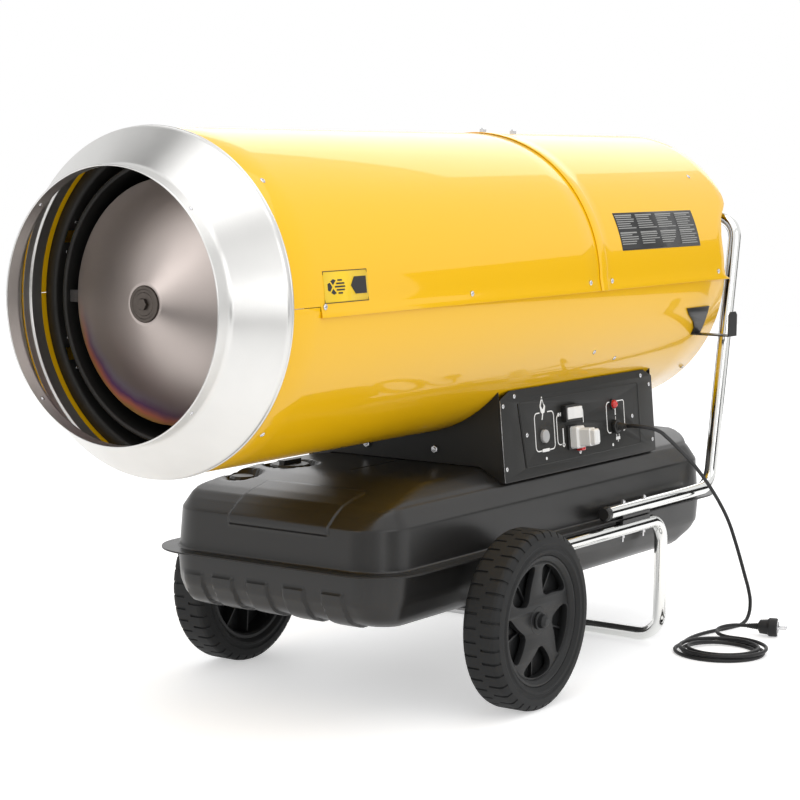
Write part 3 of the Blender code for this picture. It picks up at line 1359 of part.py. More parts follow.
def controls(face):
    """Reset button, switch, room thermostat socket and plug, lamp and cord gland."""
    profile = [
        (-RESET_DEPTH, 0), (-RESET_DEPTH, RESET_RADIUS), (RESET_PROUD - RESET_BEZEL, RESET_RADIUS),
        (RESET_PROUD, RESET_RADIUS - RESET_BEZEL), (RESET_PROUD, 0),
    ]
    form = upright(turned(profile, SMALL_STEPS, closed=False))
    add("reset_button", form, FINISH["grey_plastic"], face, (RESET_STATION, RESET_RISE, 0))

    half_w, half_h = SWITCH_WIDTH / 2, SWITCH_HEIGHT / 2
    shelf = SEAT_GAP
    form = block((-half_w, -half_h, shelf), (half_w, half_h, SWITCH_PROUD))
    housing = add("switch_housing", form, FINISH["black"], face, (SWITCH_STATION, SWITCH_RISE, 0))
    stub_w, stub_h = half_w - SWITCH_WALL / 2, half_h - SWITCH_WALL / 2
    stub = block((-stub_w, -stub_h, -SWITCH_DEPTH), (stub_w, stub_h, SWITCH_PROUD / 2))
    join(housing, tool("switch_body", stub, face, (SWITCH_STATION, SWITCH_RISE, 0)))
    well_w, well_h = half_w - SWITCH_WALL, half_h - SWITCH_WALL
    floor = SWITCH_PROUD - ROCKER_DEPTH
    well = block((-well_w, -well_h, floor), (well_w, well_h, SWITCH_PROUD + CUT_OVERRUN))
    cut(housing, tool("switch_well", well, face, (SWITCH_STATION, SWITCH_RISE, 0)))
    place = (SWITCH_STATION, SWITCH_RISE, SWITCH_PROUD - RUNNING_GAP)
    pivot = empty("rocker_pivot", face, place, (0, -ROCKER_ANGLE, 0))
    wide = well_w - RUNNING_GAP * 2
    tall = well_h - RUNNING_GAP
    drop = wide * math.sin(ROCKER_ANGLE)
    swing = wide * math.cos(ROCKER_ANGLE)
    belly = ROCKER_DEPTH - RUNNING_GAP * 3
    knee, knee_depth = swing * ROCKER_KNEE_SHARE, -belly * ROCKER_KNEE_DEPTH_SHARE
    edge, crest = swing * ROCKER_EDGE_SHARE, ROCKER_PROUD + drop / 2
    outline = [
        (-swing, -drop / 4), (-knee, knee_depth), (0, -belly * ROCKER_BELLY_SHARE),
        (knee, knee_depth), (swing, -drop / 4), (edge, crest),
        (0, ROCKER_PROUD - drop / 2), (-edge, crest),
    ]
    form = sideways(extruded(outline, 2 * tall))
    bmesh.ops.translate(form, verts=form.verts, vec=(0, -tall, 0))
    add("switch_rocker", form, FINISH["white"], pivot)

    half_w, half_h = SOCKET_WIDTH / 2, SOCKET_HEIGHT / 2
    place = (SOCKET_STATION, SOCKET_RISE, 0)
    form = block((-half_w, -half_h, SEAT_GAP), (half_w, half_h, SOCKET_THICK))
    socket = add("thermostat_socket", form, FINISH["black"], face, place)
    stub_w, stub_h = half_w - SWITCH_WALL, half_h - SWITCH_WALL
    stub = block((-stub_w, -stub_h, -SOCKET_DEPTH), (stub_w, stub_h, SOCKET_THICK / 2))
    join(socket, tool("socket_body", stub, face, place))

    base = SOCKET_THICK + SEAT_GAP
    hood, tail = base + PLUG_HOOD, base + PLUG_LENGTH
    profile = [
        (base, 0), (hood, 0), (hood + PLUG_STEP, PLUG_STEP), (tail - PLUG_TAIL, PLUG_STEP),
        (tail - PLUG_TAIL, PLUG_STEP * 1.5), (tail - PLUG_CORNER, PLUG_STEP * 1.5),
        (tail, PLUG_STEP * 1.5 + PLUG_CORNER),
    ]
    rings = []
    for height, inset in profile:
        low = (-PLUG_WIDTH / 2 + inset, -PLUG_HEIGHT / 2 + inset)
        high = (PLUG_WIDTH / 2 - inset, PLUG_HEIGHT / 2 - inset)
        rings.append([(x, y, height) for x, y in rounded_rectangle(low, high, PLUG_CORNER, 1)])
    add("thermostat_plug", lofted(rings), FINISH["white"], face, (SOCKET_STATION, SOCKET_RISE, 0))

    profile = [
        (-LAMP_DEPTH, 0), (-LAMP_DEPTH, LAMP_RADIUS), (SEAT_GAP, LAMP_RADIUS),
        (SEAT_GAP, LAMP_RADIUS + SWITCH_WALL / 2), (RESET_BEZEL, LAMP_RADIUS + SWITCH_WALL / 2),
        (RESET_BEZEL, LAMP_RADIUS),
    ]
    profile += [(RESET_BEZEL + a, b) for a, b in arc((0, 0), LAMP_RADIUS, math.pi / 2, 0, 4)][1:]
    form = upright(turned(profile, SMALL_STEPS, closed=False))
    add("indicator_lamp", form, FINISH["red"], face, (LAMP_STATION, LAMP_RISE, 0))

    tip = GLAND_NUT + GLAND_TAPER
    profile = [
        (-GLAND_DEPTH, 0), (-GLAND_DEPTH, GLAND_STEM), (SEAT_GAP, GLAND_STEM),
        (SEAT_GAP, GLAND_RADIUS), (GLAND_NUT, GLAND_RADIUS), (GLAND_NUT, GLAND_STEM),
        (tip, CORD_DIAMETER * 0.68), (tip, 0),
    ]
    form = upright(turned(profile, SMALL_STEPS, closed=False))
    add("cable_gland", form, FINISH["black"], face, (GLAND_STATION, GLAND_RISE, 0))


def tyre_form():
    """Solid rubber tyre round the X axis: bead, walls, shoulders and tread, grooves cut later."""
    half = WHEEL_WIDTH / 2
    tread = WHEEL_RADIUS - TYRE_SHOULDER / 2
    profile = [
        (-half + TYRE_WALL_INSET, TYRE_BORE), (half - TYRE_WALL_INSET, TYRE_BORE),
        (half, TYRE_BORE + RIM_BAND), (half, WHEEL_RADIUS - TYRE_SHOULDER * 1.6),
        (half - TYRE_SHOULDER, tread), (half - TYRE_SHOULDER * 2, WHEEL_RADIUS),
    ]
    mirrored = [(-along, radius) for along, radius in reversed(profile[1:])]
    return turned(profile + mirrored[:-1], WHEEL_STEPS)


def tread_grooves():
    """Short grooves across the tread, in two rows that are set half a pitch apart."""
    half = WHEEL_WIDTH / 2
    low = WHEEL_RADIUS - GROOVE_DEPTH
    grooves = []
    for side in (-1, 1):
        for i in range(TREAD_GROOVES):
            start, end = GROOVE_MARGIN / 3, half - GROOVE_MARGIN
            near, far = sorted((side * start, side * end))
            groove = block(
                (near, -GROOVE_WIDTH / 2, low), (far, GROOVE_WIDTH / 2, WHEEL_RADIUS + CUT_OVERRUN)
            )
            turn = math.tau * (i + 0.25 * side) / TREAD_GROOVES
            grooves.append(placed(groove, Matrix.Rotation(turn, 4, "X")))
    return merged(*grooves)


def rim_form():
    """Plastic wheel round the X axis: band, dished web and hub, the windows cut later."""
    half = WHEEL_WIDTH / 2 - TYRE_WALL_INSET
    band = (TYRE_BORE - SEAT_GAP) * math.cos(math.pi / WHEEL_STEPS)
    inside = band - RIM_BAND
    web = half - RIM_WEB_INSET
    bore = (AXLE_RADIUS + RUNNING_GAP) / math.cos(math.pi / SMALL_STEPS)
    profile = [
        (-half, bore), (-half, RIM_HUB), (web - RIM_WEB, RIM_HUB), (web - RIM_WEB, inside),
        (-half, inside), (-half, band), (half, band), (web, inside),
        (web, RIM_HUB), (half - RIM_WEB_INSET / 2, RIM_HUB * 0.8),
        (half - RIM_WEB_INSET / 2, bore),
    ]
    return turned(profile, WHEEL_STEPS)


def rim_windows(mirror):
    """Five windows between the spokes: rounded triangles that lean one way."""
    deep = WHEEL_WIDTH
    windows = []
    outline = []
    for share in (-1, 0, 1):
        turn = WINDOW_SPREAD * share
        spot = (RIM_WINDOW_OUTER * math.sin(turn), RIM_WINDOW_OUTER * math.cos(turn))
        outline.append((*spot, WINDOW_CORNER if abs(share) == 1 else WINDOW_CORNER * 3))
    lean = WINDOW_TWIST * mirror
    outline.append((RIM_WINDOW_INNER * math.sin(lean), RIM_WINDOW_INNER * math.cos(lean), WINDOW_CORNER * 0.8))
    line = rounded(list(reversed(outline)), 2)
    for i in range(RIM_SPOKES):
        window = across(extruded(line, deep))
        bmesh.ops.translate(window, verts=window.verts, vec=(-deep / 2, 0, 0))
        windows.append(placed(window, Matrix.Rotation(math.tau * i / RIM_SPOKES, 4, "X")))
    return merged(*windows)


def wheels(frame):
    """Two wheels that turn freely on one axle, each held by a pressed hub cap."""
    outside = WHEEL_INNER + WHEEL_WIDTH
    end = outside - TYRE_WALL_INSET - RIM_WEB_INSET / 2 + AXLE_END
    profile = [(-end, 0), (-end, AXLE_RADIUS), (end, AXLE_RADIUS), (end, 0)]
    form = along_y(turned(profile, SMALL_STEPS, closed=False))
    add("axle", form, FINISH["zinc"], frame, (WHEEL_STATION, 0, WHEEL_RADIUS))
    for name, side in (("left", -1), ("right", 1)):
        middle = side * (WHEEL_INNER + WHEEL_WIDTH / 2)
        hub = empty(f"wheel_pivot_{name}", frame, (WHEEL_STATION, middle, WHEEL_RADIUS))
        tyre = add(f"tyre_{name}", along_y(tyre_form()), FINISH["rubber"], hub)
        cut(tyre, tool(f"grooves_{name}", along_y(tread_grooves()), hub))
        form = along_y(rim_form())
        if side < 0:
            placed(form, Matrix.Rotation(math.pi, 4, "Z"))
        rim = add(f"wheel_rim_{name}", form, FINISH["wheel"], hub)
        cut(rim, tool(f"windows_{name}", along_y(rim_windows(side)), hub))
        face = WHEEL_WIDTH / 2 - TYRE_WALL_INSET - RIM_WEB_INSET / 2 + SEAT_GAP
        bore = (AXLE_RADIUS + SEAT_GAP) / math.cos(math.pi / SMALL_STEPS)
        roof = AXLE_END + SEAT_GAP
        rim_radius = HUB_CAP_RADIUS + HUB_CAP_WALL
        profile = [
            (face + roof, 0), (face + roof, bore), (face, bore), (face, rim_radius),
            (face + HUB_CAP_WALL, rim_radius), (face + HUB_CAP_WALL * 1.5, HUB_CAP_RADIUS),
            (face + HUB_CAP_LENGTH - HUB_CAP_DOME, HUB_CAP_RADIUS),
            (face + HUB_CAP_LENGTH - HUB_CAP_DOME / 3, HUB_CAP_RADIUS * 0.7),
            (face + HUB_CAP_LENGTH, 0),
        ]
        form = along_y(turned([(a * side, r) for a, r in profile], SMALL_STEPS, closed=False))
        place = (WHEEL_STATION, middle, WHEEL_RADIUS)
        add(f"hub_cap_{name}", form, FINISH["wheel"], frame, place)


def mirrored_route(corners):
    """Corners on the -Y side, then the same ones mirrored, back to the start."""
    return corners + [(x, -y, z) for x, y, z in reversed(corners)]


def chassis(frame):
    """Bent tubes under and behind the tank, clamped to its flange through saddles."""
    low = STAND_DROP / 2
    corners = [
        (WHEEL_STATION, -TUBE_SIDE, WHEEL_RADIUS - STAND_DROP),
        (WHEEL_STATION, -TUBE_SIDE, STAND_HEIGHT),
        (STAND_LEG_STATION, -TUBE_SIDE, STAND_HEIGHT),
        (STAND_LEG_STATION, -TUBE_SIDE, low),
    ]
    route = bent_path(mirrored_route(corners), TUBE_BEND, 4)
    stand = tube_mesh("stand_tube", route, TUBE_RADIUS, 3, FINISH["chrome"], frame)
    bore = (AXLE_RADIUS + SEAT_GAP) / math.cos(math.pi / SMALL_STEPS)
    reach = TUBE_SIDE + 2 * TUBE_RADIUS
    drill = along_y(turned([(-reach, 0), (-reach, bore), (reach, bore), (reach, 0)],
                           SMALL_STEPS, closed=False))
    cut(stand, tool("axle_holes", drill, frame, (WHEEL_STATION, 0, WHEEL_RADIUS)))

    corners = [
        (HANDLE_FRONT, -TUBE_SIDE, HANDLE_HEIGHT),
        (HANDLE_FOOT_STATION, -TUBE_SIDE, HANDLE_HEIGHT),
        (HANDLE_TOP_STATION, -TUBE_SIDE, HANDLE_TOP_HEIGHT),
    ]
    route = bent_path(mirrored_route(corners), TUBE_BEND, 4)
    tube_mesh("handle_tube", route, TUBE_RADIUS, 3, FINISH["chrome"], frame)

    for name, side in (("left", -1), ("right", 1)):
        cap = TUBE_RADIUS + HUB_CAP_WALL / 2
        ease = HUB_CAP_WALL
        profile = [(-END_CAP_LENGTH, 0), (-END_CAP_LENGTH, cap - ease), (ease - END_CAP_LENGTH, cap),
                   (-SEAT_GAP, cap), (-SEAT_GAP, 0)]
        form = turned(profile, SMALL_STEPS, closed=False)
        place = (HANDLE_FRONT, side * TUBE_SIDE, HANDLE_HEIGHT)
        add(f"handle_end_cap_{name}", form, FINISH["black"], frame, place)

        over = TANK_FLANGE_HEIGHT + TANK_SHEET + SEAT_GAP
        under = TANK_FLANGE_HEIGHT - TANK_SHEET - SEAT_GAP
        pieces = (
            ("handle_saddle", SADDLE_FRONT, SADDLE_LENGTH, over, HANDLE_HEIGHT),
            ("stand_saddle", SADDLE_FRONT, SADDLE_LENGTH, under, STAND_HEIGHT),
            ("front_saddle", FRONT_SADDLE_STATION, FRONT_SADDLE_LENGTH, under, STAND_HEIGHT),
        )
        for kind, start, length, face, axis in pieces:
            form = saddle(face, axis, length)
            add(f"{kind}_{name}", form, FINISH["black"], frame, (start, side * TUBE_SIDE, 0))


def saddle(face, axis, length):
    """A block between the tank's flange and a tube, hollowed where the tube lies in it."""
    toward = 1 if face > axis else -1
    seat = TUBE_RADIUS + SEAT_GAP
    half = SADDLE_WIDTH / 2
    swing = math.asin(half / seat)
    middle = math.pi / 2 * toward
    curve = arc((0, axis), seat, middle - swing, middle + swing, 8)
    ends = [(math.copysign(half, curve[-1][0]), face), (math.copysign(half, curve[0][0]), face)]
    form = across(extruded(curve + ends, length))
    return form


def cord_hook(frame):
    """Bent steel hook on the barrel's side that the lead is wound on for storage."""
    seat = BARREL_RADIUS + SEAT_GAP * 2
    turns = [HOOK_TOP_ANGLE + (HOOK_LOW_ANGLE - HOOK_TOP_ANGLE) * i / 4 for i in range(5)]
    line = [on_barrel(seat, a) for a in turns]
    middle = HOOK_STATION
    neck_shares = [0, 0.3, 0.75, 1, 1, 1, 1, 1]
    eases = [0] * 7 + [HOOK_TAB_EASE]
    tip, foot = line[-1][0] - HOOK_REACH, line[-1][1]
    line += [(tip, foot), (tip, foot + HOOK_TAB - HOOK_TAB_EASE), (tip, foot + HOOK_TAB)]
    outside = offset_line(line, -HOOK_SHEET)
    outer, inner = [], []
    for share, ease, near, away in zip(neck_shares, eases, line, outside):
        half = (HOOK_PLATE_WIDTH + (HOOK_NECK_WIDTH - HOOK_PLATE_WIDTH) * share) / 2 - ease
        centre = middle + HOOK_NECK_SHIFT * share
        inner.append([(centre - half, *near), (centre + half, *near)])
        outer.append([(centre - half, *away), (centre + half, *away)])
    add("cord_hook", sheet_solid(outer, inner), FINISH["black"], frame)


def smooth_route(ends, spacing):
    """Evenly spaced points on a Catmull-Rom curve; the first and last piece stay straight."""
    points = ends[1:-1]
    dense = []
    for a, b, c, d in zip(ends, ends[1:], ends[2:], ends[3:]):
        for k in range(16):
            t = k / 16
            dense.append(
                (2 * b + (c - a) * t + (2 * a - 5 * b + 4 * c - d) * t**2
                 + (3 * b - a - 3 * c + d) * t**3) / 2
            )
    dense.append(points[-1])
    total = sum((b - a).length for a, b in zip(dense, dense[1:]))
    count = max(int(total / spacing), 2)
    route, walked, target = [dense[0]], 0, total / count
    for a, b in zip(dense, dense[1:]):
        step = (b - a).length
        while walked + step >= target and len(route) < count:
            route.append(a + (b - a) * ((target - walked) / step))
            target += total / count
        walked += step
    return [ends[0], *route, points[-1], ends[-1]]


def coil_route():
    """Loops on the ground that spiral in and, one layer up, out again, at a steady rate."""
    diameter = CORD_DIAMETER + COIL_GAP
    half_turns = COIL_TURNS / 2
    rate = (COIL_OUTER - COIL_INNER) / half_turns
    steps = int(COIL_TURNS * LOOP_POINTS)
    route = []
    for i in range(steps + 1):
        turns = COIL_TURNS * i / steps
        from_middle = turns - half_turns
        radius = COIL_INNER + rate * math.sqrt(from_middle**2 + 0.01)
        climb = min(max(from_middle * 2 + 0.5, 0), 1)
        ease = climb * climb * (3 - 2 * climb)
        height = CORD_DIAMETER / 2 + FLOOR_LIFT + diameter * ease
        angle = COIL_START + math.tau * turns
        route.append(Vector((
            COIL_STATION + radius * math.cos(angle), COIL_SIDE + radius * math.sin(angle), height
        )))
    return route + coil_tail(route[-1], angle + math.pi / 2)


def coil_tail(start, heading):
    """The end of the lead: it leaves the coil, turns back and rises to the plug's height."""
    points = []
    steps = LOOP_POINTS // 2
    middle = start + TAIL_RADIUS * Vector((math.sin(heading), -math.cos(heading), 0))
    rise = LEAD_PLUG_RADIUS + FLOOR_LIFT - start.z
    for i in range(1, steps + 1):
        share = i / steps
        turn = heading - TAIL_SWEEP * share
        out = Vector((-math.sin(turn), math.cos(turn), 0)) * TAIL_RADIUS
        points.append(middle + out + Vector((0, 0, rise * share * share * (3 - 2 * share))))
    onward = Vector((math.cos(turn), math.sin(turn), 0))
    return points + [points[-1] + onward * TAIL_END]


def least_gap(route, diameter):
    """The narrowest gap of a wound tube to itself, between points over two diameters apart."""
    least = math.inf
    for i, here in enumerate(route):
        for other, there in enumerate(route[i + 1:], i + 1):
            if other - i > LOOP_POINTS / 3:
                least = min(least, (here - there).length - diameter)
    return least


def mains_lead(frame, face):
    """The lead: from the gland down to the ground, a storage coil, and its plug beside it."""
    coil = coil_route()
    gap = least_gap(coil, CORD_DIAMETER)
    print(f"mains lead coil: least gap to itself {gap * 1000:.2f} mm")
    tube_curve("cord_coil", coil, CORD_DIAMETER / 2, 1, FINISH["cord"], frame)

    bpy.context.view_layer.update()
    to_frame = frame.matrix_world.inverted() @ face.matrix_world
    exit_height = GLAND_NUT + GLAND_TAPER + SEAT_GAP
    start = to_frame @ Vector((GLAND_STATION, GLAND_RISE, exit_height))
    out = to_frame.to_3x3() @ Vector((0, 0, 1))
    arrive = (coil[1] - coil[0]).normalized()
    end = coil[0] - arrive * SEAT_GAP
    route = [start, start + out * CORD_DIAMETER * 1.5]
    route += [Vector(point) for point in CORD_POINTS]
    route += [end - arrive * CORD_DIAMETER * 3, end - arrive * CORD_DIAMETER, end]
    tube_curve("power_cord", smooth_route(route, CORD_DIAMETER * 2.8), CORD_DIAMETER / 2, 2,
               FINISH["cord"], frame)

    leave = (coil[-1] - coil[-2]).normalized()
    tail = LEAD_PLUG_TAIL
    profile = [
        (0, 0), (0, CORD_DIAMETER * 0.62), (tail, CORD_DIAMETER * 0.95),
        (tail + HUB_CAP_WALL, LEAD_PLUG_RADIUS * 0.82), (tail + LEAD_PLUG_LENGTH * 0.55, LEAD_PLUG_RADIUS),
        (tail + LEAD_PLUG_LENGTH, LEAD_PLUG_RADIUS), (tail + LEAD_PLUG_LENGTH, 0),
    ]
    plug = add("power_plug", turned(profile, SMALL_STEPS, closed=False), FINISH["cord"], frame)
    place = coil[-1] + leave * SEAT_GAP
    heading = leave.to_track_quat("X", "Z")
    seat = Matrix.Translation(place) @ heading.to_matrix().to_4x4()
    plug.matrix_local = seat
    pins = []
    for side in (-1, 1):
        base = tail + LEAD_PLUG_LENGTH - CUT_OVERRUN
        end = tail + LEAD_PLUG_LENGTH + LEAD_PIN_LENGTH
        pin = turned([(base, 0), (base, LEAD_PIN_RADIUS), (end, LEAD_PIN_RADIUS), (end, 0)],
                     TINY_STEPS, closed=False)
        pins.append(placed(pin, Matrix.Translation((0, side * LEAD_PIN_PITCH / 2, 0))))
    rods = tool("plug_pins", merged(*pins), frame)
    rods.matrix_local = seat
    join(plug, rods)


clear_scene()
FINISH = {
    "yellow": material("casing_yellow", (0.93, 0.52, 0.012), 0.30),
    "aluminium": material("spun_aluminium", (0.80, 0.79, 0.76), 0.34, 1.0),
    "hot_steel": material("hot_steel", (0.36, 0.31, 0.28), 0.42, 1.0),
    "chamber": material("chamber_steel", (0.05, 0.048, 0.046), 0.62, 0.4),
    "steel": material("plain_steel", (0.55, 0.55, 0.54), 0.40, 1.0),
    "brass": material("brass", (0.62, 0.46, 0.20), 0.35, 1.0),
    "porcelain": material("porcelain", (0.86, 0.84, 0.78), 0.30),
    "motor": material("motor_grey", (0.17, 0.18, 0.19), 0.50, 0.3),
    "fan": material("fan_aluminium", (0.62, 0.63, 0.64), 0.45, 1.0),
    "tank": material("tank_black", (0.040, 0.039, 0.037), 0.38),
    "box": material("box_black", (0.050, 0.050, 0.048), 0.48),
    "black": material("black_plastic", (0.022, 0.022, 0.022), 0.50),
    "grey_plastic": material("grey_plastic", (0.30, 0.30, 0.30), 0.45),
    "white": material("white_plastic", (0.80, 0.80, 0.78), 0.40),
    "red": material("red_lens", (0.62, 0.02, 0.02), 0.20),
    "rubber": material("tyre_rubber", (0.036, 0.037, 0.038), 0.70),
    "wheel": material("wheel_plastic", (0.045, 0.046, 0.047), 0.52),
    "zinc": material("zinc", (0.70, 0.70, 0.72), 0.28, 1.0),
    "chrome": material("chrome", (0.86, 0.86, 0.87), 0.08, 1.0),
    "cord": material("cord_rubber", (0.020, 0.020, 0.021), 0.55),
}
HEATER = empty("heater_frame", None, (-OVERALL_LENGTH / 2, 0, 0))
casing(HEATER)
outlet_cone(HEATER)
heat_shield(HEATER)
combustion_chamber(HEATER)
flame_deflector(HEATER)
burner(HEATER)
motor(HEATER)
fan_rotor(HEATER)
fan_guard(HEATER)
tank(HEATER)
tank_fittings(HEATER)
PANEL = control_box(HEATER)
transformer(HEATER)
controls(PANEL)
wheels(HEATER)
chassis(HEATER)
cord_hook(HEATER)
mains_lead(HEATER, PANEL)
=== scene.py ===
"""The looks of a direct-fired space heater on wheels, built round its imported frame.

Metres, +Z up. The outlet looks along -X and the control panel faces -Y. Stations along the barrel
are measured from the outlet's lip; every form is made in stations, and piece() moves it into the frame.
A form is (points, faces, uvs): faces have four corners each, and a triangle's fourth one is -1.
"""

import math

import bmesh
import bpy
import numpy as np
from mathutils import Matrix, Vector


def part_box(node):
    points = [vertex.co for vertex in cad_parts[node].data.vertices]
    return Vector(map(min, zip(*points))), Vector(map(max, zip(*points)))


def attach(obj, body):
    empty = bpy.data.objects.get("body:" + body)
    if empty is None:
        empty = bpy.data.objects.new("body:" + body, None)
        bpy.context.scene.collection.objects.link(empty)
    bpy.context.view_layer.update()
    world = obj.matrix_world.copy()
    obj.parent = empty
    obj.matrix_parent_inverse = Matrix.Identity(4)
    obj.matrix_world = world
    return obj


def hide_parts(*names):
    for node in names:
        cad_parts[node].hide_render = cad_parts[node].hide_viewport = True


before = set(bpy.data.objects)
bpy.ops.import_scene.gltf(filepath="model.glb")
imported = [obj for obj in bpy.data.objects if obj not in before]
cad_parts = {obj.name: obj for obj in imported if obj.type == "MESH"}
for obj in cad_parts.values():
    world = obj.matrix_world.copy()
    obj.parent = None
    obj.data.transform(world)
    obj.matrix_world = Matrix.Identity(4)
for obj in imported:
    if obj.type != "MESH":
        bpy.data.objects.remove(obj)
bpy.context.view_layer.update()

# Places read from the frame
LIP_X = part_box("outlet_cone")[0].x
AXIS_Z = sum(corner.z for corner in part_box("outlet_cone")) / 2

# Meshes
WELD = 0.000002
SMOOTH_ANGLE = math.radians(34)
BEVEL_ANGLE = math.radians(38)
ROUND_STEPS = 40
BARREL_STEPS = 176
DUCT_STEPS = 144
OUTLET_STEPS = 208

# Camera: its place by station, and its aim
CAMERA_PLACE = (-2.5296, -2.2975, 0.9819)
CAMERA_YAW = math.radians(34.6397)
CAMERA_PITCH = math.radians(6.5381)
CAMERA_ROLL = math.radians(0.4758)
CAMERA_LENS = 98.72
CAMERA_SENSOR = 36.0
CAMERA_REACH = 100

# Surround, floor, lamps as (name, place, aim, size, power), and dark cards by their corners
SURROUND_LEVELS = (0.84, 1.0)
FLOOR_HALF = 8
FLOOR_GLOW = 0.45
LAMPS = (
    ("overhead", (-0.3, -0.9, 3.1), (0, 0, 0.6), (3.4, 2.2), 25),
    ("key", (-0.9, -4.7, 2.5), (0, 0, 0.6), (3.4, 2.4), 29),
    ("mouth", (-4.5, 1.3, 1.9), (-0.8, 0, 0.7), (1.7, 1.7), 18),
    ("wall", (3.6, 1.7, 2.7), (0, 0, 1.0), (3.8, 2.2), 32),
    ("strip", (-2.7, -4.1, 1.05), (0, 0, 0.4), (0.5, 1.5), 9),
)
CARDS = {
    "flag_above": [(-2.1, 0.6, 2.6), (-0.8, 0.6, 2.6), (-0.8, 2.2, 2.6), (-2.1, 2.2, 2.6)],
    "flag_end": [(4.2, -3.4, 0.0), (4.2, -1.3, 0.0), (4.2, -1.3, 1.5), (4.2, -3.4, 1.5)],
    "flag_side": [(-1.6, -4.6, 0.0), (0.7, -4.6, 0.0), (0.7, -4.6, 0.9), (-1.6, -4.6, 0.9)],
    "flag_back": [(3.4, 1.2, 0.0), (2.2, 3.2, 0.0), (2.2, 3.2, 0.8), (3.4, 1.2, 0.8)],
    "flag_floor": [(-6.5, -5.5, 0.003), (-2.9, -5.5, 0.003), (-2.35, 0.6, 0.003), (-6.5, 3.0, 0.003)],
}

# Casing
BARREL_RADIUS = 0.278
SHEET = 0.0015
SHEET_EDGE = 0.0004
SHELL_FRONT = 0.096
FRONT_SHELL_REAR = 1.069
LAP_START = 1.045
LAP_END = 1.071
LAP_STRAIGHT = 0.013
LAP_EASE = 0.005
LAP_SWELL = 0.0020
SHELL_REAR = 1.565
SEAM_UPPER = 0.0039
SEAM_LOWER = 0.0029
TUCK = 0.0036
FLANGE_START = 0.177
FLANGE_STEP = 0.0006
FLANGE_END = 1.583
FLANGE_RISE = 0.0097
FLANGE_DROP = 0.0136
FLANGE_FLARE = 0.0045
REAR_ANGLES = (0, 12, 16, 20, 24, 27, 30, 33, 36, 60)
REAR_STATIONS = (1.564, 1.564, 1.568, 1.578, 1.592, 1.612, 1.630, 1.638, 1.641, 1.642)

# Outlet: the spun cone, and the lining behind it with its bead
LIP_RADIUS = 0.2196
LIP_LENGTH = 0.028
LIP_HEM = 0.0012
HEM_RADIUS = 0.0014
CONE_SKIRT_START = 0.0938
CONE_LENGTH = 0.1058
CONE_SKIRT_RADIUS = 0.2808
CONE_SHEET = 0.0016
CONE_FILLET = 0.016
SKIRT_FILLET = 0.010
SKIRT_FILLET_INSIDE = 0.0084
INSIDE_SHIFT = 0.0006
ROLL_RADIUS = 0.0022
ROLL_FLATNESS = 0.8
LINER_REAR = 0.138
LINER_INSET = 0.0048
BEAD_STATION = 0.113
BEAD_HALF = 0.0035
BEAD_HEIGHT = 0.0052

# Duct and deflector; the hub bolt's lines are (offset from the dish's face, radius)
SHIELD_FRONT = 0.150
SHIELD_REAR = 1.010
SHIELD_RADIUS = 0.255
SHIELD_SEAT = 0.2760
SHIELD_SHEET = 0.0012
WINDOW_STATIONS = (0.158, 0.178)
WINDOW_ANGLES = (20, 25)
CHAMBER_FRONT = 0.142
CHAMBER_REAR = 0.930
CHAMBER_RADIUS = 0.228
CHAMBER_ROLL = 0.004
CHAMBER_MOUTH = 0.0776
CHAMBER_SHEET = 0.002
DEFLECTOR_TIP = 0.085
DEFLECTOR_RIM = 0.145
DEFLECTOR_RADIUS = 0.200
DEFLECTOR_FLAT = 0.034
DEFLECTOR_BORE = 0.0045
DEFLECTOR_CURL = 0.008
WASHER_LINE = (
    (0, 0.004), (0, 0.030), (-0.003, 0.0285), (-0.003, 0.024), (-0.0018, 0.023), (-0.0018, 0.019),
    (-0.003, 0.018), (-0.003, 0),
)
HUB_HEAD_LINE = ((-0.003, 0.0102), (-0.0085, 0.0098), (-0.009, 0))
HUB_SHANK_LINE = ((-0.001, 0.004), (0.018, 0.004), (0.018, 0))

# Tank: corners of its section are (inset from the flange, height), the pad is measured as (Y, X)
TANK_FRONT = 0.374
TANK_REAR = 1.625
TANK_HALF = 0.272
TANK_CORNER = 0.100
TANK_ARC_POINTS = 13
TANK_COLUMNS = (24, 110, 124, 110)
TANK_SHEET = 0.0015
TANK_SPINE = 0.271
SEAM_HEIGHT = 0.273
TANK_RIM = 0.030
CREASE = (0.035, 0.346)
PLATEAU = (0.056, 0.380)
PLATEAU_INNER = (0.072, 0.380)
TOP_START = 0.076
DECK_RISE = 0.026
DECK_FOOT_HALF = 0.215
DECK_TOP_HALF = 0.167
DECK_TOP_HALF_AHEAD = 0.186
DECK_STEP = (0.775, 0.035)
DECK_FRONT = (0.300, 0.400)
DECK_REAR = (1.575, 1.557)
DECK_BLEND = 0.10
RAMP_STATIONS = (0.400, 0.409, 0.432, 0.450, 0.478, 0.525, 0.575, 0.620, 0.680, 0.760)
RAMP_HEIGHTS = (0.336, 0.346, 0.3635, 0.3745, 0.3825, 0.3925, 0.4015, 0.4075, 0.4110, 0.4110)
RAMP_BLEND = 0.003
BELLY = (0.034, 0.218)
BILGE = (0.055, 0.184)
BOTTOM = (0.092, 0.171)
BOTTOM_INNER = (0.110, 0.171)
BOTTOM_FLAT = 0.118
BOTTOM_SPINE = 0.27
FLOOR_RISE = 0.052
FLOOR_RUN = 0.142
PAD_MIDDLE = (-0.015, 0.400)
PAD_HALF = (0.1070, 0.123)
PAD_LOW = 0.331
PAD_CORNER = 0.014
PAD_STEP = 0.0050
PAD_UPRIGHT = 10
PAD_PROUD = 0.0034
PAD_CRISP = 0.0012
RIB_PLACES = (0.174, 0.106, 0.030, -0.050, -0.133)
RIB_HALF_WIDTH = 0.023
RIB_FLANK = 0.004
RIB_END = 0.016
RIB_CROWN = 0.007
RIB_STATION = 0.486
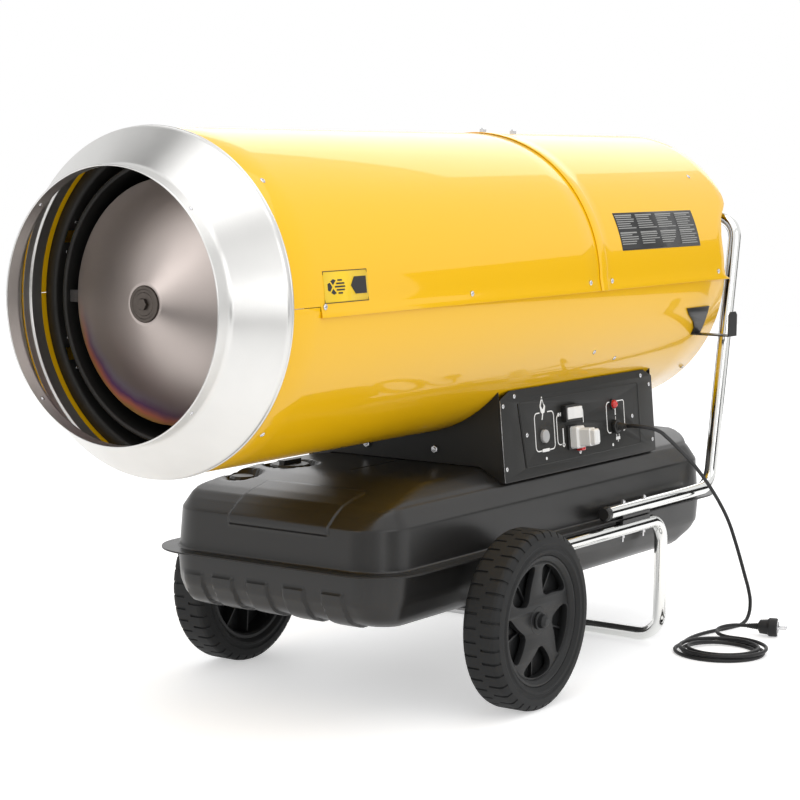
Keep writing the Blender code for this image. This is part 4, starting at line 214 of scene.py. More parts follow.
RIB_TOP = 0.234
RIB_PROUD = 0.0048
FILLER_PLACE = (0.645, 0.140)
FILLER_HOLE = 0.034
SEATS = ((0.645, 0.140, 0.047), (0.540, 0.168, 0.031))
SEAT_HEIGHT = 0.3799
SEAT_EASE = 0.010

# Control box: the panel's foot in YZ, its lean, and its outline along its own slope
PANEL_FOOT = (-0.2230, 0.3803)
PANEL_LEAN = math.radians(5.3601)
PANEL_SLOPE = 0.16593
PANEL_SLOT = ((0.868, 0.1405), (0.8845, 0.0195), (0.8875, 0.0199), (0.871, 0.1409))
BOX_FRONT = 0.810
BOX_REAR = 1.385
BOX_SHEET = 0.002
BOX_CHAMFER = 0.034
BOX_CHAMFER_DROP = 0.014
LAMP_PLACE = (1.220, 0.108)
LAMP_RADIUS = 0.0085
RESET_PLACE = (0.956, 0.072)
RESET_RADIUS = 0.0125
LAMP_GAP = 0.0003
RESET_GAP = 0.0006
SWITCH_PLACE = (1.052, 0.107)
SWITCH_SIZE = (0.055, 0.031)
SWITCH_LIP = 0.002
GLAND_PLACE = (1.223, 0.064)
GLAND_RADIUS = 0.013
GLAND_HOLE = 0.0088
GLAND_NUT = 0.009
GLAND_END = 0.029
GLAND_TAIL = 0.0082
GLAND_TAPER = 0.0032
GLAND_RIBS = 21

# Wheels; the tyre's wall is (inset, radius), and the cap's line is (out from its face, radius). The
# tread is cut between a line from the middle and one from the side, down to a depth from the radius.
WHEEL_RADIUS = 0.160
WHEEL_STATION = 0.7246
WHEEL_MIDDLE = 0.32435
WHEEL_HALF = 0.03785
TYRE_WALL = (
    (0.006, 0.1170), (0, 0.1235), (0, 0.1270), (0.0022, 0.1300), (0.0022, 0.1340), (0, 0.1375),
)
TREAD_PITCHES = 40
TREAD_PITCH = (0, 0.02, 0.17, 0.19, 0.34, 0.5, 0.52, 0.67, 0.69, 0.84)
TREAD_CUTS = ((0, 1, 1, 0, 0, 0, 0, 0, 0, 0), (0, 0, 0, 0, 0, 0, 1, 1, 0, 0))
TREAD_DEPTH = 0.0032
TREAD_REGION = (0.0045, 0.0015, 0.0125)
RIM_RADIUS = 0.1165
RIM_FACE = 0.0240
RIM_WEB = 0.012
RIM_RIBS = 10
RIM_RIB = 0.003
RIM_RIB_REACH = 0.1050
RIM_WINDOW_INNER = 0.049
RIM_WINDOW_REACH = 0.052
RIM_WINDOW_TURN = 34
RIM_WINDOWS = 5
WINDOW_FOOT = 12
WINDOW_SPREAD = 18
WINDOW_BEND = 0.6
BACK_RADIUS = 0.1045
HUB_RADIUS = 0.024
HUB_BORE = 0.0096
HUB_CAP_FACE = 0.02515
HUB_CAP_LINE = (
    (0, 0.0096), (0, 0.0155), (0.003, 0.0155), (0.0045, 0.0128), (0.0125, 0.0122), (0.0178, 0.007),
    (0.0180, 0),
)

# Chassis tubes
TUBE_RADIUS = 0.013
TUBE_SIDE = 0.268
TUBE_BEND = 0.045
TUBE_POINTS = 28
TUBE_STRETCH = 0.05
TUBE_FACING = (-0.60, 0.50, 0.62)
STAND_HEIGHT = 0.2525
STAND_LEG = 1.330
STAND_START = 0.134
HANDLE_HEIGHT = 0.291
HANDLE_FRONT = 1.108
HANDLE_FOOT = 1.538
HANDLE_TOP = (1.636, 0.845)

# Fixings: casing screws are (station, degrees), panel screws (station, rise), and box bolts (Y, Z)
CASING_SCREWS = ((0.135, 45), (0.135, -45), (1.089, -28.6), (1.188, -33.2), (1.547, 44.4), (1.55, -46))
FLANGE_SCREWS = (0.186, 0.604, 1.0085, 1.089, 1.533)
FLANGE_SCREW_RISE = 0.0033
FLANGE_SCREW_LIFT = 0.0022
LAP_LIFT = 0.0022
CASING_HEAD = (0.0048, 0.0028)
PANEL_HEAD = (0.0042, 0.0024)
PANEL_SCREWS = (
    (0.820, 0.025), (0.820, 0.140), (0.896, 0.080), (1.085, 0.029), (1.296, 0.078), (0.860, 0.155),
    (1.340, 0.155), (1.372, 0.135), (1.374, 0.0235),
)
SCREW_RINGS = (0, 0.14, 0.28, 0.42, 0.56, 0.7, 0.85, 0.96, 1.0, 1.0)
SCREW_COLUMNS = 24
SCREW_CROSS = (0.14, 0.55, 0.1)
CROSS_DEPTH = 0.7
SCREW_FOOT = 0.4
RIVET_LINE = ((-0.0012, 0), (-0.0012, 0.0036), (0.0004, 0.0036), (0.0018, 0.0018), (0.0018, 0))
NUT_LINE = (
    (-0.0010, 0), (-0.0010, 0.0072), (0.0055, 0.0072), (0.0062, 0.0064), (0.0062, 0.0042),
    (0.0085, 0.0038), (0.0088, 0),
)
SMALL_NUT = 0.7
BOLT_LINE = ((0, 0), (0, 0.0024), (0.0115, 0.0024), (0.012, 0.0019), (0.012, 0))
BOX_BOLTS = ((0.082, 0.430), (-0.072, 0.432))
SADDLE_STATIONS = (1.171, 1.254)
TOP_BOLTS = (1.070, 1.180)
LIP_RIVET_STATION = 0.014
SHIELD_RIVET_STATION = 0.169
SHIELD_RIVETS = [middle + step for middle in (22.5, -22.5) for step in (-6, 6)]

# Panel marks by (station, rise): loops start with their fillet, bars with their width
INK_WIDTH = 0.0021
INK_DEPTH = 0.0005
PANEL_LOOPS = (
    (0.009, (0.944, 0.1165), (0.925, 0.1165), (0.925, 0.0455), (0.946, 0.0455)),
    (0.009, (0.972, 0.1165), (0.994, 0.1165), (0.994, 0.0455), (0.974, 0.0455)),
    (0.009, (1.017, 0.1070), (1.004, 0.1070), (1.004, 0.0500), (1.017, 0.0500)),
    (0.009, (1.087, 0.1140), (1.103, 0.1140), (1.103, 0.0840)),
    (0.009, (1.207, 0.1130), (1.194, 0.1130), (1.194, 0.0530), (1.208, 0.0530)),
    (0.005, (1.234, 0.1130), (1.264, 0.1130), (1.264, 0.0530), (1.258, 0.0530)),
)
PANEL_BARS = (
    (0.0034, (1.0255, 0.0520), (1.0255, 0.0800)), (0.0034, (1.2285, 0.0860), (1.2285, 0.0990)),
    (0.0018, (1.2285, 0.0770), (1.2285, 0.0830)), (0.0058, (0.9475, 0.0455), (0.9725, 0.0455)),
    (0.0022, (1.0195, 0.1035), (1.0195, 0.1105)), (0.0022, (1.0835, 0.1105), (1.0835, 0.1175)),
    (0.0060, (1.2260, 0.0400), (1.2420, 0.0400)), (INK_WIDTH, (1.2290, 0.0425), (1.2290, 0.0480)),
    (INK_WIDTH, (1.2390, 0.0425), (1.2390, 0.0480)), (INK_WIDTH, (1.2340, 0.0330), (1.2340, 0.0380)),
    (0.0030, (0.9555, 0.1150), (0.9520, 0.1030)),
)
PANEL_RINGS = (((1.0255, 0.0490), 0.0046, 0.0024), ((1.0120, 0.1070), 0.0036, 0.0018))
PANEL_DOTS = ((0.960, 0.030), (1.2126, 0.029))
FLAME = (
    (0.9550, 0.1480), (0.9460, 0.1290), (0.9500, 0.1150), (0.9620, 0.1150), (0.9660, 0.1280),
    (0.9600, 0.1330),
)
FLAME_CORE = ((0.9555, 0.1405), (0.9500, 0.1290), (0.9560, 0.1215), (0.9610, 0.1280))
LATCH = ((1.072, 0.0325), (1.086, 0.0325), (1.086, 0.0420), (1.072, 0.0420))
# A thin zinc strip along the panel's front edge: a painted highlight for the light that the folded edge
# catches
EDGE_HIGHLIGHT_STRIP = ((0.8102, 0.002), (0.8112, 0.002), (0.8112, 0.150), (0.8102, 0.150))
FRAME_LOW = (0.890, 0.0195)
FRAME_HIGH = (1.326, 0.1430)
FRAME_WIDTH = 0.0022
FRAME_LEAN = (0.016, 0.0136)

# Labels by (first station, last station, first angle, last angle); shapes are shares of their size. The
# air mark's bars start on a point, (tip, slant), and end on an arc, (start, reach, half its height).
INSTRUCTIONS = (1.143, 1.465, math.radians(12.0), math.radians(27.5))
AIR_MARK = (0.187, 0.304, math.radians(1.6), math.radians(12.0))
LABEL_SHEET = 0.0003
LABEL_OUT = 0.0004
PRINT_OUT = 0.0008
AIR_EDGE = 0.0011
AIR_SHAPES = (
    ((0.60, 0.51), (0.70, 0.24), (0.96, 0.24), (0.96, 0.78), (0.69, 0.78)),
    ((0.08, 0.60), (0.08, 0.40), (0.13, 0.36), (0.18, 0.50), (0.13, 0.64)),
    ((0.15, 0.68), (0.20, 0.56), (0.27, 0.70), (0.21, 0.74)),
    ((0.15, 0.32), (0.21, 0.26), (0.27, 0.30), (0.20, 0.44)),
)
AIR_BARS = (0.30, 0.40, 0.50, 0.60, 0.70)
AIR_BAR_HALF = 0.025
AIR_POINT = (0.24, 0.35)
AIR_ARC = (0.27, 0.20, 0.28)
COLUMNS = 4
COLUMN_MARGIN = 0.004
ROWS = 15
ROW_SHARE = 17
HEAD_ROWS = (0, 8)
EMPTY_ROWS = (7, 14)
HEAD_LENGTH = 0.9
HEAD_HEIGHT = 0.62
ROW_HEIGHT = 0.42
ROW_LENGTHS = (0.62, 1.0)

# Mains lead: points from the gland past the handle and down to the ground. The plug's tail starts at a share
# of the cord's diameter, and flares by another share towards the body.
CORD_DIAMETER = 0.0075
CORD_START = (1.223, -0.2462, 0.4468)
CORD_OUT = (0.0, -0.995627, 0.0934154)
CORD_POINTS = (
    (1.2284, -0.2770, 0.4470), (1.2425, -0.2920, 0.4430), (1.2640, -0.2978, 0.4345),
    (1.3180, -0.2990, 0.4060), (1.3920, -0.3010, 0.3610), (1.4520, -0.3040, 0.3160),
    (1.5040, -0.3080, 0.2680), (1.5420, -0.3130, 0.2210), (1.5710, -0.3190, 0.1650),
    (1.5960, -0.3260, 0.1040), (1.6100, -0.3310, 0.0640), (1.6105, -0.3340, 0.0400),
    (1.6000, -0.3360, 0.0185), (1.5820, -0.3365, 0.0070), (1.5580, -0.3355, 0.0041),
    (1.5150, -0.3290, 0.0040), (1.4600, -0.3150, 0.0040), (1.4000, -0.3095, 0.0040),
)
COIL_PLACE = (1.319, -0.412)
COIL_OUTER = 0.091
COIL_INNER = 0.062
COIL_TURNS = 3.78
COIL_START = math.radians(90)
COIL_GAP = 0.0006
LOOP_POINTS = 24
TAIL_RADIUS = 0.045
TAIL_SWEEP = math.radians(172)
TAIL_END = 0.010
FLOOR_LIFT = 0.0002
LEAD_PLUG_RADIUS = 0.019
LEAD_PLUG_LENGTH = 0.040
LEAD_PLUG_TAIL = 0.022
PIN_RADIUS = 0.0024
PIN_LENGTH = 0.019
PIN_OFFSET = 0.0095
STRAIN_RIBS = 25
STRAIN_START = 0.62
STRAIN_FLARE = 0.33
STRAIN_GROOVE = 0.0007

# Temper colours of the dish, by their share of the way out; they show where the lean is large
TEMPER_LEAN = (0.55, 0.85)
TEMPER_SIDE = (0.095, 0.185)
TEMPER_RADII = (0.165, 0.214)
TEMPER_CLOUD = 14.0
TEMPER_WANDER = 0.030
TEMPER_COLOURS = (
    (0.0, (0.30, 0.26, 0.25)), (0.30, (0.30, 0.27, 0.36)), (0.55, (0.20, 0.09, 0.24)),
    (0.78, (0.72, 0.24, 0.16)), (1.0, (0.60, 0.33, 0.10)),
)

# Solids that stay as they are, by (finish, width of their rounded edges)
KEPT_SOLIDS = {
    ("box_black", 0.0006): ("box_front_plate", "box_rear_plate"),
    ("black_plastic", 0.0008): ("switch_housing", "thermostat_socket"),
    ("white_plastic", 0.0007): ("switch_rocker",),
    ("white_plastic", 0.0012): ("thermostat_plug",),
    ("strap_steel", 0.0005): ("deflector_strap_1", "deflector_strap_2", "deflector_strap_3"),
    ("plain_steel", 0.0005): ("burner_head", "motor_shaft", "fuel_pump", "filler_neck", "drain_plug"),
    ("brass", 0.0005): ("oil_nozzle", "fuel_line"),
    ("porcelain", 0.0005): ("ignition_electrodes",),
    ("motor_grey", 0.0005): ("fan_motor", "ignition_transformer"),
    ("fan_aluminium", 0.0005): ("fan",),
    ("zinc", 0.0005): ("axle",),
    ("black_plastic", 0.0005): (
        "filler_cap", "fuel_gauge", "handle_end_cap_left", "handle_end_cap_right",
    ),
    ("black_steel", 0.0005): (
        "motor_cradle", "fan_guard", "cord_hook", "handle_saddle_left", "handle_saddle_right",
        "stand_saddle_left", "stand_saddle_right", "front_saddle_left", "front_saddle_right",
    ),
}
FINISH = {}


def unit(vectors):
    """Vectors of length one, along the last axis."""
    return vectors / np.linalg.norm(vectors, axis=-1, keepdims=True)


def ease(share):
    """A smooth step: 0 below 0, 1 above 1, and 3 s squared less 2 s cubed between."""
    share = np.clip(share, 0, 1)
    return share * share * (3 - 2 * share)


def filleted(corners, radii, steps=8):
    """A line whose inner corners are circular arcs.

    An arc's centre lies on its corner's bisector, radius / sin(half the corner) from it.
    """
    corners = np.asarray(corners, float)
    line = [corners[0]]
    for before, here, after, radius in zip(
        corners, corners[1:], corners[2:], np.broadcast_to(radii, len(corners) - 2)
    ):
        back, on = unit(before - here), unit(after - here)
        half = math.acos(np.clip(back @ on, -1, 1)) / 2
        if radius <= 0 or math.pi / 2 - half < 0.001:
            line.append(here)
            continue
        middle = here + unit(back + on) * radius / math.sin(half)
        first = here + back * radius / math.tan(half) - middle
        last = here + on * radius / math.tan(half) - middle
        swing = math.pi - 2 * half
        share = np.linspace(0, 1, steps + 1)[:, None]
        turn = np.sin((1 - share) * swing) * first + np.sin(share * swing) * last
        line.extend(middle + turn / math.sin(swing))
    line.append(corners[-1])
    return np.array(line)


def filleted_loop(corners, radii, steps=8):
    """A closed outline whose corners are all arcs."""
    corners = [tuple(corner) for corner in corners]
    return filleted([corners[-1], *corners, corners[0]], radii, steps)[1:-1]


def circle(radius, steps=ROUND_STEPS, middle=(0, 0)):
    """Points round a circle."""
    turn = np.arange(steps) * math.tau / steps
    return np.stack([np.cos(turn), np.sin(turn)], -1) * radius + middle


def spaced(line, step):
    """A line with points added so that none of its stretches is longer than a step."""
    line = np.asarray(line, float)
    made = [line[0]]
    for a, b in zip(line, line[1:]):
        count = max(int(np.linalg.norm(b - a) / step), 1)
        made.extend(a + (b - a) * k / count for k in range(1, count + 1))
    return np.array(made)


def grid(points, wrap_rows=False, wrap_columns=False):
    """A form with one quad between neighbours on a grid; a wrapped side joins its end to its start.

    Its map runs once round the columns in u, and by real length along the rows in v.
    """
    rows, columns = points.shape[:2]
    i = np.arange(rows if wrap_rows else rows - 1)[:, None]
    j = np.arange(columns if wrap_columns else columns - 1)[None]
    corners = [(i, j), (i, j + 1), (i + 1, j + 1), (i + 1, j)]
    faces = np.stack([(a % rows) * columns + b % columns for a, b in corners], -1)
    steps = np.linalg.norm(np.roll(points, -1, 0) - points, axis=-1).mean(-1)
    along = np.concatenate([[0], np.cumsum(steps)])
    uvs = [np.stack(np.broadcast_arrays(b / columns, along[a]), -1) for a, b in corners]
    return points.reshape(-1, 3), faces.reshape(-1, 4), np.stack(uvs, -2).reshape(-1, 4, 2)


def joined(forms):
    """Several forms in one."""
    counts = np.cumsum([0] + [len(points) for points, _, _ in forms])
    faces = [np.where(form[1] < 0, -1, form[1] + count) for form, count in zip(forms, counts)]
    return (
        np.concatenate([form[0] for form in forms]), np.concatenate(faces),
        np.concatenate([form[2] for form in forms]),
    )


def placed(form, matrix):
    """A form turned and moved by a matrix."""
    matrix = np.array(matrix)
    return form[0] @ matrix[:3, :3].T + matrix[:3, 3], form[1], form[2]


def axes(origin, x, y, z):
    """A matrix that takes a form's X, Y and Z to three directions at a place."""
    made = np.eye(4)
    made[:3, 0], made[:3, 1], made[:3, 2], made[:3, 3] = x, y, z, origin
    return made


def turned(profile, steps=ROUND_STEPS, closed=False, height=None):
    """A profile of (along, radius) spun round the X axis: (along, -r cos a, height + r sin a)."""
    profile = np.asarray(profile, float)
    turn = np.arange(steps) * math.tau / steps
    along = np.broadcast_to(profile[:, :1], (len(profile), steps))
    points = np.stack([along, -profile[:, 1:] * np.cos(turn), profile[:, 1:] * np.sin(turn)], -1)
    if height is not None:
        points = points + (0, 0, height)
    return grid(points, wrap_rows=closed, wrap_columns=True)


def swept(path, section, facing):
    """A closed section carried along a path, its first axis the part of facing square to the path."""
    along = unit(np.gradient(path, axis=0))
    side = unit(facing - (along @ np.asarray(facing, float))[:, None] * along)
    other = np.cross(along, side)
    points = path[:, None] + section[None, :, :1] * side[:, None] + section[None, :, 1:] * other[:, None]
    ends = [np.broadcast_to(path[k], (1, len(section), 3)) for k in (0, -1)]
    return grid(np.concatenate([ends[0], points, ends[1]]), wrap_columns=True)


def linked(name, data):
    """A new object in the scene."""
    made = bpy.data.objects.new(name, data)
    bpy.context.scene.collection.objects.link(made)
    return made


def raised(loops, thickness, edge=0.0):
    """A flat plate from closed outlines, the first outside and the rest holes; its top is at Z = 0."""
    curve = bpy.data.curves.new("outline", "CURVE")
    curve.dimensions = "2D"
    curve.fill_mode = "BOTH"
    curve.extrude = thickness / 2 - edge
    curve.bevel_depth = edge
    curve.bevel_resolution = 1
    curve.offset = -edge
    for loop in loops:
        spline = curve.splines.new("POLY")
        spline.points.add(len(loop) - 1)
        flat = np.zeros((len(loop), 4))
        flat[:, :2], flat[:, 3] = loop, 1
        spline.points.foreach_set("co", flat.ravel())
        spline.use_cyclic_u = True
    made = linked("outline", curve)
    bpy.context.view_layer.update()
    shape = made.evaluated_get(bpy.context.evaluated_depsgraph_get())
    mesh = bpy.data.meshes.new_from_object(shape)
    points = np.zeros(len(mesh.vertices) * 3)
    mesh.vertices.foreach_get("co", points)
    mesh.calc_loop_triangles()
    corners = np.zeros(len(mesh.loop_triangles) * 3, int)
    mesh.loop_triangles.foreach_get("vertices", corners)
    bpy.data.objects.remove(made, do_unlink=True)
    bpy.data.curves.remove(curve)
    bpy.data.meshes.remove(mesh)
    points = points.reshape(-1, 3) - (0, 0, thickness / 2)
    faces = np.full((len(corners) // 3, 4), -1)
    faces[:, :3] = corners.reshape(-1, 3)
    return points, faces, points[np.maximum(faces, 0), :2]


def stroke(line, width=INK_WIDTH):
    """The outline of a pen stroke along a flat line."""
    line = np.asarray(line, float)
    along = unit(np.gradient(line, axis=0))
    side = np.stack([-along[:, 1], along[:, 0]], -1) * width / 2
    return np.concatenate([line + side, (line - side)[::-1]])


def slabs(low, high, thickness):
    """Flat bars between low and high corners, their tops at Z = 0."""
    low, high = np.asarray(low, float), np.asarray(high, float)
    ring = [(0, 0), (1, 0), (1, 1), (0, 1)]
    pick = np.array([(*corner, level) for level in (0, 1) for corner in ring])
    low = np.column_stack([low, np.full(len(low), -thickness)])[:, None]
    high = np.column_stack([high, np.zeros(len(high))])[:, None]
    points = (low + (high - low) * pick).reshape(-1, 3)
    sides = [(3, 2, 1, 0), (4, 5, 6, 7), (0, 1, 5, 4), (1, 2, 6, 5), (2, 3, 7, 6), (3, 0, 4, 7)]
    faces = (np.arange(len(low))[:, None, None] * len(pick) + np.array(sides)).reshape(-1, 4)
    return points, faces, points[faces, :2]


def bent(form, station, angle, out):
    """A flat form wrapped on the casing: X runs along the barrel and Y round it, upward."""
    x, y, z = form[0].T
    turn = angle + y / BARREL_RADIUS
    reach = BARREL_RADIUS + out + z
    points = np.stack([station + x, -reach * np.cos(turn), AXIS_Z + reach * np.sin(turn)], -1)
    return points, form[1], form[2]


def piece(name, forms, coat, body="machine", replaces=None, wall=0.0, edge=0.0, away=None):
    """A mesh object from forms: doubles merged, faces out, smooth where it is round.

    An open sheet names a point that its faces look away from, and gets its wall towards it.
    """
    points, faces, uvs = joined([forms] if isinstance(forms, tuple) else forms)
    points = points + (LIP_X, 0, 0)
    short = faces[:, 3] < 0
    mesh = bpy.data.meshes.new(name)
    mesh.from_pydata(points.tolist(), [], faces[~short].tolist() + faces[short][:, :3].tolist())
    corners = np.concatenate([uvs[~short].reshape(-1, 2), uvs[short][:, :3].reshape(-1, 2)])
    mesh.uv_layers.new(name="surface").uv.foreach_set("vector", corners.ravel())
    form = bmesh.new()
    form.from_mesh(mesh)
    bmesh.ops.remove_doubles(form, verts=form.verts, dist=WELD)
    bmesh.ops.dissolve_degenerate(form, edges=form.edges, dist=WELD)
    bmesh.ops.recalc_face_normals(form, faces=form.faces)
    if away is None:
        turn = form.calc_volume(signed=True) < 0
    else:
        centre = Vector(away) + Vector((LIP_X, 0, 0))
        turn = sum((f.calc_center_median() - centre).dot(f.normal) for f in form.faces) < 0
    if turn:
        bmesh.ops.reverse_faces(form, faces=form.faces)
    form.to_mesh(mesh)
    form.free()
    mesh.shade_smooth()
    mesh.set_sharp_from_angle(angle=SMOOTH_ANGLE)
    mesh.materials.append(FINISH[coat])
    made = linked(name, mesh)
    if wall:
        step = made.modifiers.new("wall", "SOLIDIFY")
        step.thickness = wall
        step.offset = -1
        step.use_even_offset = True
    if edge:
        soften(made, edge)
    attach(made, body)
    if replaces:
        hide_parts(replaces)
    return made


def soften(made, width):
    """Rounds the sharp edges a little, as pressed, moulded and coated edges are."""
    step = made.modifiers.new("soft_edges", "BEVEL")
    step.width = width
    step.segments = 2
    step.limit_method = "ANGLE"
    step.angle_limit = BEVEL_ANGLE
    step.harden_normals = False


def dressed(solid, coat, width):
    """A solid of the frame that stays: its triangles welded, its edges rounded and its finish set."""
    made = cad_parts[solid]
    made.data.materials.clear()
    made.data.materials.append(FINISH[coat])
    made.modifiers.new("weld", "WELD").merge_threshold = WELD
    soften(made, width)


def outward(angle):
    """The direction (0, -cos a, sin a): angle 0 is the panel's side and 90 degrees the top."""
    return np.array((0, -math.cos(angle), math.sin(angle)))


def on_round(station, angle, radius, way=1):
    """Axes on a round sheet: X along the barrel and Z out of it, or into it where way is -1."""
    normal = outward(angle) * way
    place = np.array((station, 0, AXIS_Z)) + outward(angle) * radius
    return axes(place, (1, 0, 0), np.cross(normal, (1, 0, 0)), normal)


def on_barrel(station, angle, out=0.0):
    """Axes on the casing's outside."""
    return on_round(station, angle, BARREL_RADIUS + out)


def stood(form, seat):
    """A turned form on a seat, its own axis along the seat's Z."""
    return placed(form, seat @ axes((0, 0, 0), (0, 0, 1), (0, 1, 0), (-1, 0, 0)))


def on_panel(station=0.0, rise=0.0, out=0.0):
    """Axes on the control panel: X along it, Y up its slope and Z out of it."""
    up = np.array((0, math.sin(PANEL_LEAN), math.cos(PANEL_LEAN)))
    normal = outward(PANEL_LEAN)
    place = np.array((station, *PANEL_FOOT)) + up * rise + normal * out
    return axes(place, (1, 0, 0), up, normal)


def camera():
    """The photograph's view: yaw and pitch give the aim, and roll turns the frame about it."""
    a, p = CAMERA_YAW, CAMERA_PITCH
    ahead = Vector((math.cos(a) * math.cos(p), math.sin(a) * math.cos(p), -math.sin(p)))
    right = Vector((math.sin(a), -math.cos(a), 0))
    up = right.cross(ahead)
    side = right * math.cos(CAMERA_ROLL) + up * math.sin(CAMERA_ROLL)
    top = up * math.cos(CAMERA_ROLL) - right * math.sin(CAMERA_ROLL)
    data = bpy.data.cameras.new("camera")
    data.lens = CAMERA_LENS
    data.sensor_width = CAMERA_SENSOR
    data.clip_end = CAMERA_REACH
    made = linked("camera", data)
    turn = Matrix((side, top, -ahead)).transposed().to_4x4()
    made.matrix_world = Matrix.Translation(Vector(CAMERA_PLACE) + Vector((LIP_X, 0, 0))) @ turn
    bpy.context.scene.camera = made


def smooth_route(ends, spacing):
    """Evenly spaced points on a Catmull-Rom curve; the first and last piece stay straight."""
    ends = [Vector(point) for point in ends]
    dense = []
    for a, b, c, d in zip(ends, ends[1:], ends[2:], ends[3:]):
        for k in range(16):
            t = k / 16
            dense.append(
                (2 * b + (c - a) * t + (2 * a - 5 * b + 4 * c - d) * t**2
                 + (3 * b - a - 3 * c + d) * t**3) / 2
            )
    dense.append(ends[-2])
    total = sum((b - a).length for a, b in zip(dense, dense[1:]))
    count = max(int(total / spacing), 2)
    route, walked, target = [dense[0]], 0, total / count
    for a, b in zip(dense, dense[1:]):
        step = (b - a).length
        while walked + step >= target and len(route) < count:
            route.append(a + (b - a) * ((target - walked) / step))
            target += total / count
        walked += step
    return [ends[0], *route, ends[-2], ends[-1]]


def coil_route():
    """Loops that spiral in and, one layer up, out again; then a turned-back tail to the plug."""
    half_turns = COIL_TURNS / 2
    rate = (COIL_OUTER - COIL_INNER) / half_turns
    turns = np.linspace(0, COIL_TURNS, int(COIL_TURNS * LOOP_POINTS) + 1)
    radius = COIL_INNER + rate * np.sqrt((turns - half_turns) ** 2 + 0.01)
    height = CORD_DIAMETER / 2 + FLOOR_LIFT
    height = height + (CORD_DIAMETER + COIL_GAP) * ease((turns - half_turns) * 2 + 0.5)
    angle = COIL_START + math.tau * turns
    loops = np.stack([
        COIL_PLACE[0] + radius * np.cos(angle), COIL_PLACE[1] + radius * np.sin(angle), height,
    ], -1)
    heading = angle[-1] + math.pi / 2
    share = np.arange(1, LOOP_POINTS // 2 + 1) / (LOOP_POINTS // 2)
    turn = heading - TAIL_SWEEP * share
    middle = loops[-1] + TAIL_RADIUS * np.array((math.sin(heading), -math.cos(heading), 0))
    rise = (LEAD_PLUG_RADIUS + FLOOR_LIFT - loops[-1][2]) * ease(share)
    tail = middle + np.stack([-np.sin(turn) * TAIL_RADIUS, np.cos(turn) * TAIL_RADIUS, rise], -1)
    onward = np.array((math.cos(turn[-1]), math.sin(turn[-1]), 0)) * TAIL_END
    return np.concatenate([loops, tail, [tail[-1] + onward]])


def lead_route():
    """The whole lead: straight out of the gland, down past the handle, and into the coil."""
    coil = coil_route()
    start = Vector(CORD_START)
    arrive = Vector(coil[1] - coil[0]).normalized()
    end = Vector(coil[0])
    free = smooth_route([
        start, start + Vector(CORD_OUT) * CORD_DIAMETER * 1.5, *CORD_POINTS,
        end - arrive * CORD_DIAMETER * 3, end - arrive * CORD_DIAMETER, end,
    ], CORD_DIAMETER * 4)
    return np.concatenate([np.array(free), coil[1:]]) + (LIP_X, 0, 0)


def mains_lead():
    """A round flex on one smooth spline through the lead's points."""
    route = lead_route()
    curve = bpy.data.curves.new("mains_lead", "CURVE")
    curve.dimensions = "3D"
    curve.bevel_depth = CORD_DIAMETER / 2
    curve.bevel_resolution = 5
    curve.resolution_u = 5
    curve.use_fill_caps = True
    spline = curve.splines.new("BEZIER")
    spline.bezier_points.add(len(route) - 1)
    spline.bezier_points.foreach_set("co", route.ravel())
    for point in spline.bezier_points:
        point.handle_left_type = point.handle_right_type = "AUTO"
    made = linked("mains_lead", curve)
    curve.materials.append(FINISH["cord_rubber"])
    plug = lead_plug(route[-1], route[-1] - route[-2])
    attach(made, "machine")
    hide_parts("power_cord", "cord_coil")


def lead_plug(place, heading):
    """The mains plug: a ribbed tail, a waisted round body, a metal ring and two pins on its flat face."""
    tail, body, radius = LEAD_PLUG_TAIL, LEAD_PLUG_LENGTH, LEAD_PLUG_RADIUS
    end = tail + body
    ribs = np.linspace(0, tail, STRAIN_RIBS)
    groove = np.arange(STRAIN_RIBS) % 4 > 1
    wave = CORD_DIAMETER * (STRAIN_START + STRAIN_FLARE * ribs / tail) - STRAIN_GROOVE * groove
    profile = filleted([
        (tail, CORD_DIAMETER * 0.95), (tail + 0.004, radius * 0.74), (tail + body * 0.5, radius * 0.82),
        (tail + body * 0.56, radius), (tail + body * 0.93, radius), (end, radius * 0.9), (end, 0),
    ], (0.002, 0.004, 0.003, 0.002, 0.001))
    line = np.concatenate([[(0, 0)], np.stack([ribs, wave], -1), profile[1:]])
    along = unit(np.asarray(heading, float))
    side = unit(np.cross((0, 0, 1), along))
    origin = np.asarray(place, float) - (LIP_X, 0, 0) + along * 0.0003
    seat = axes(origin, along, side, np.cross(along, side))
    shell = piece("power_plug_body", placed(turned(line), seat), "cord_rubber", replaces="power_plug")
    pins = []
    for offset in (-PIN_OFFSET, PIN_OFFSET):
        pin = filleted([
            (end - 0.001, PIN_RADIUS), (end + PIN_LENGTH - 0.0005, PIN_RADIUS), (end + PIN_LENGTH, 0),
        ], 0.001)
        pins.append(placed(placed(turned(pin, 20), axes((0, offset, 0), *np.eye(3))), seat))
    ring = filleted([
        (end - 0.002, 0.0120), (end - 0.002, 0.0160), (end + 0.0006, 0.0160), (end + 0.0006, 0.0120),
    ], 0.0003, 2)
    pins.append(placed(turned(ring, 40, closed=True), seat))
    metal = piece("power_plug_pins", pins, "zinc")
    return shell, metal


def half_shell(stations, outline, angles):
    """A half casing: rows of (station, swell, flanged), each an outline; the last one is the rear edge.

    A row's station is a number, or a function of the angles where the edge isn't straight.
    """
    rows = []
    for station, swell, flanged in stations:
        flat = outline(swell, flanged)
        along = station(angles) if callable(station) else np.full(len(flat), station)
        rows.append(np.column_stack([along, flat]))
    return grid(np.array(rows))


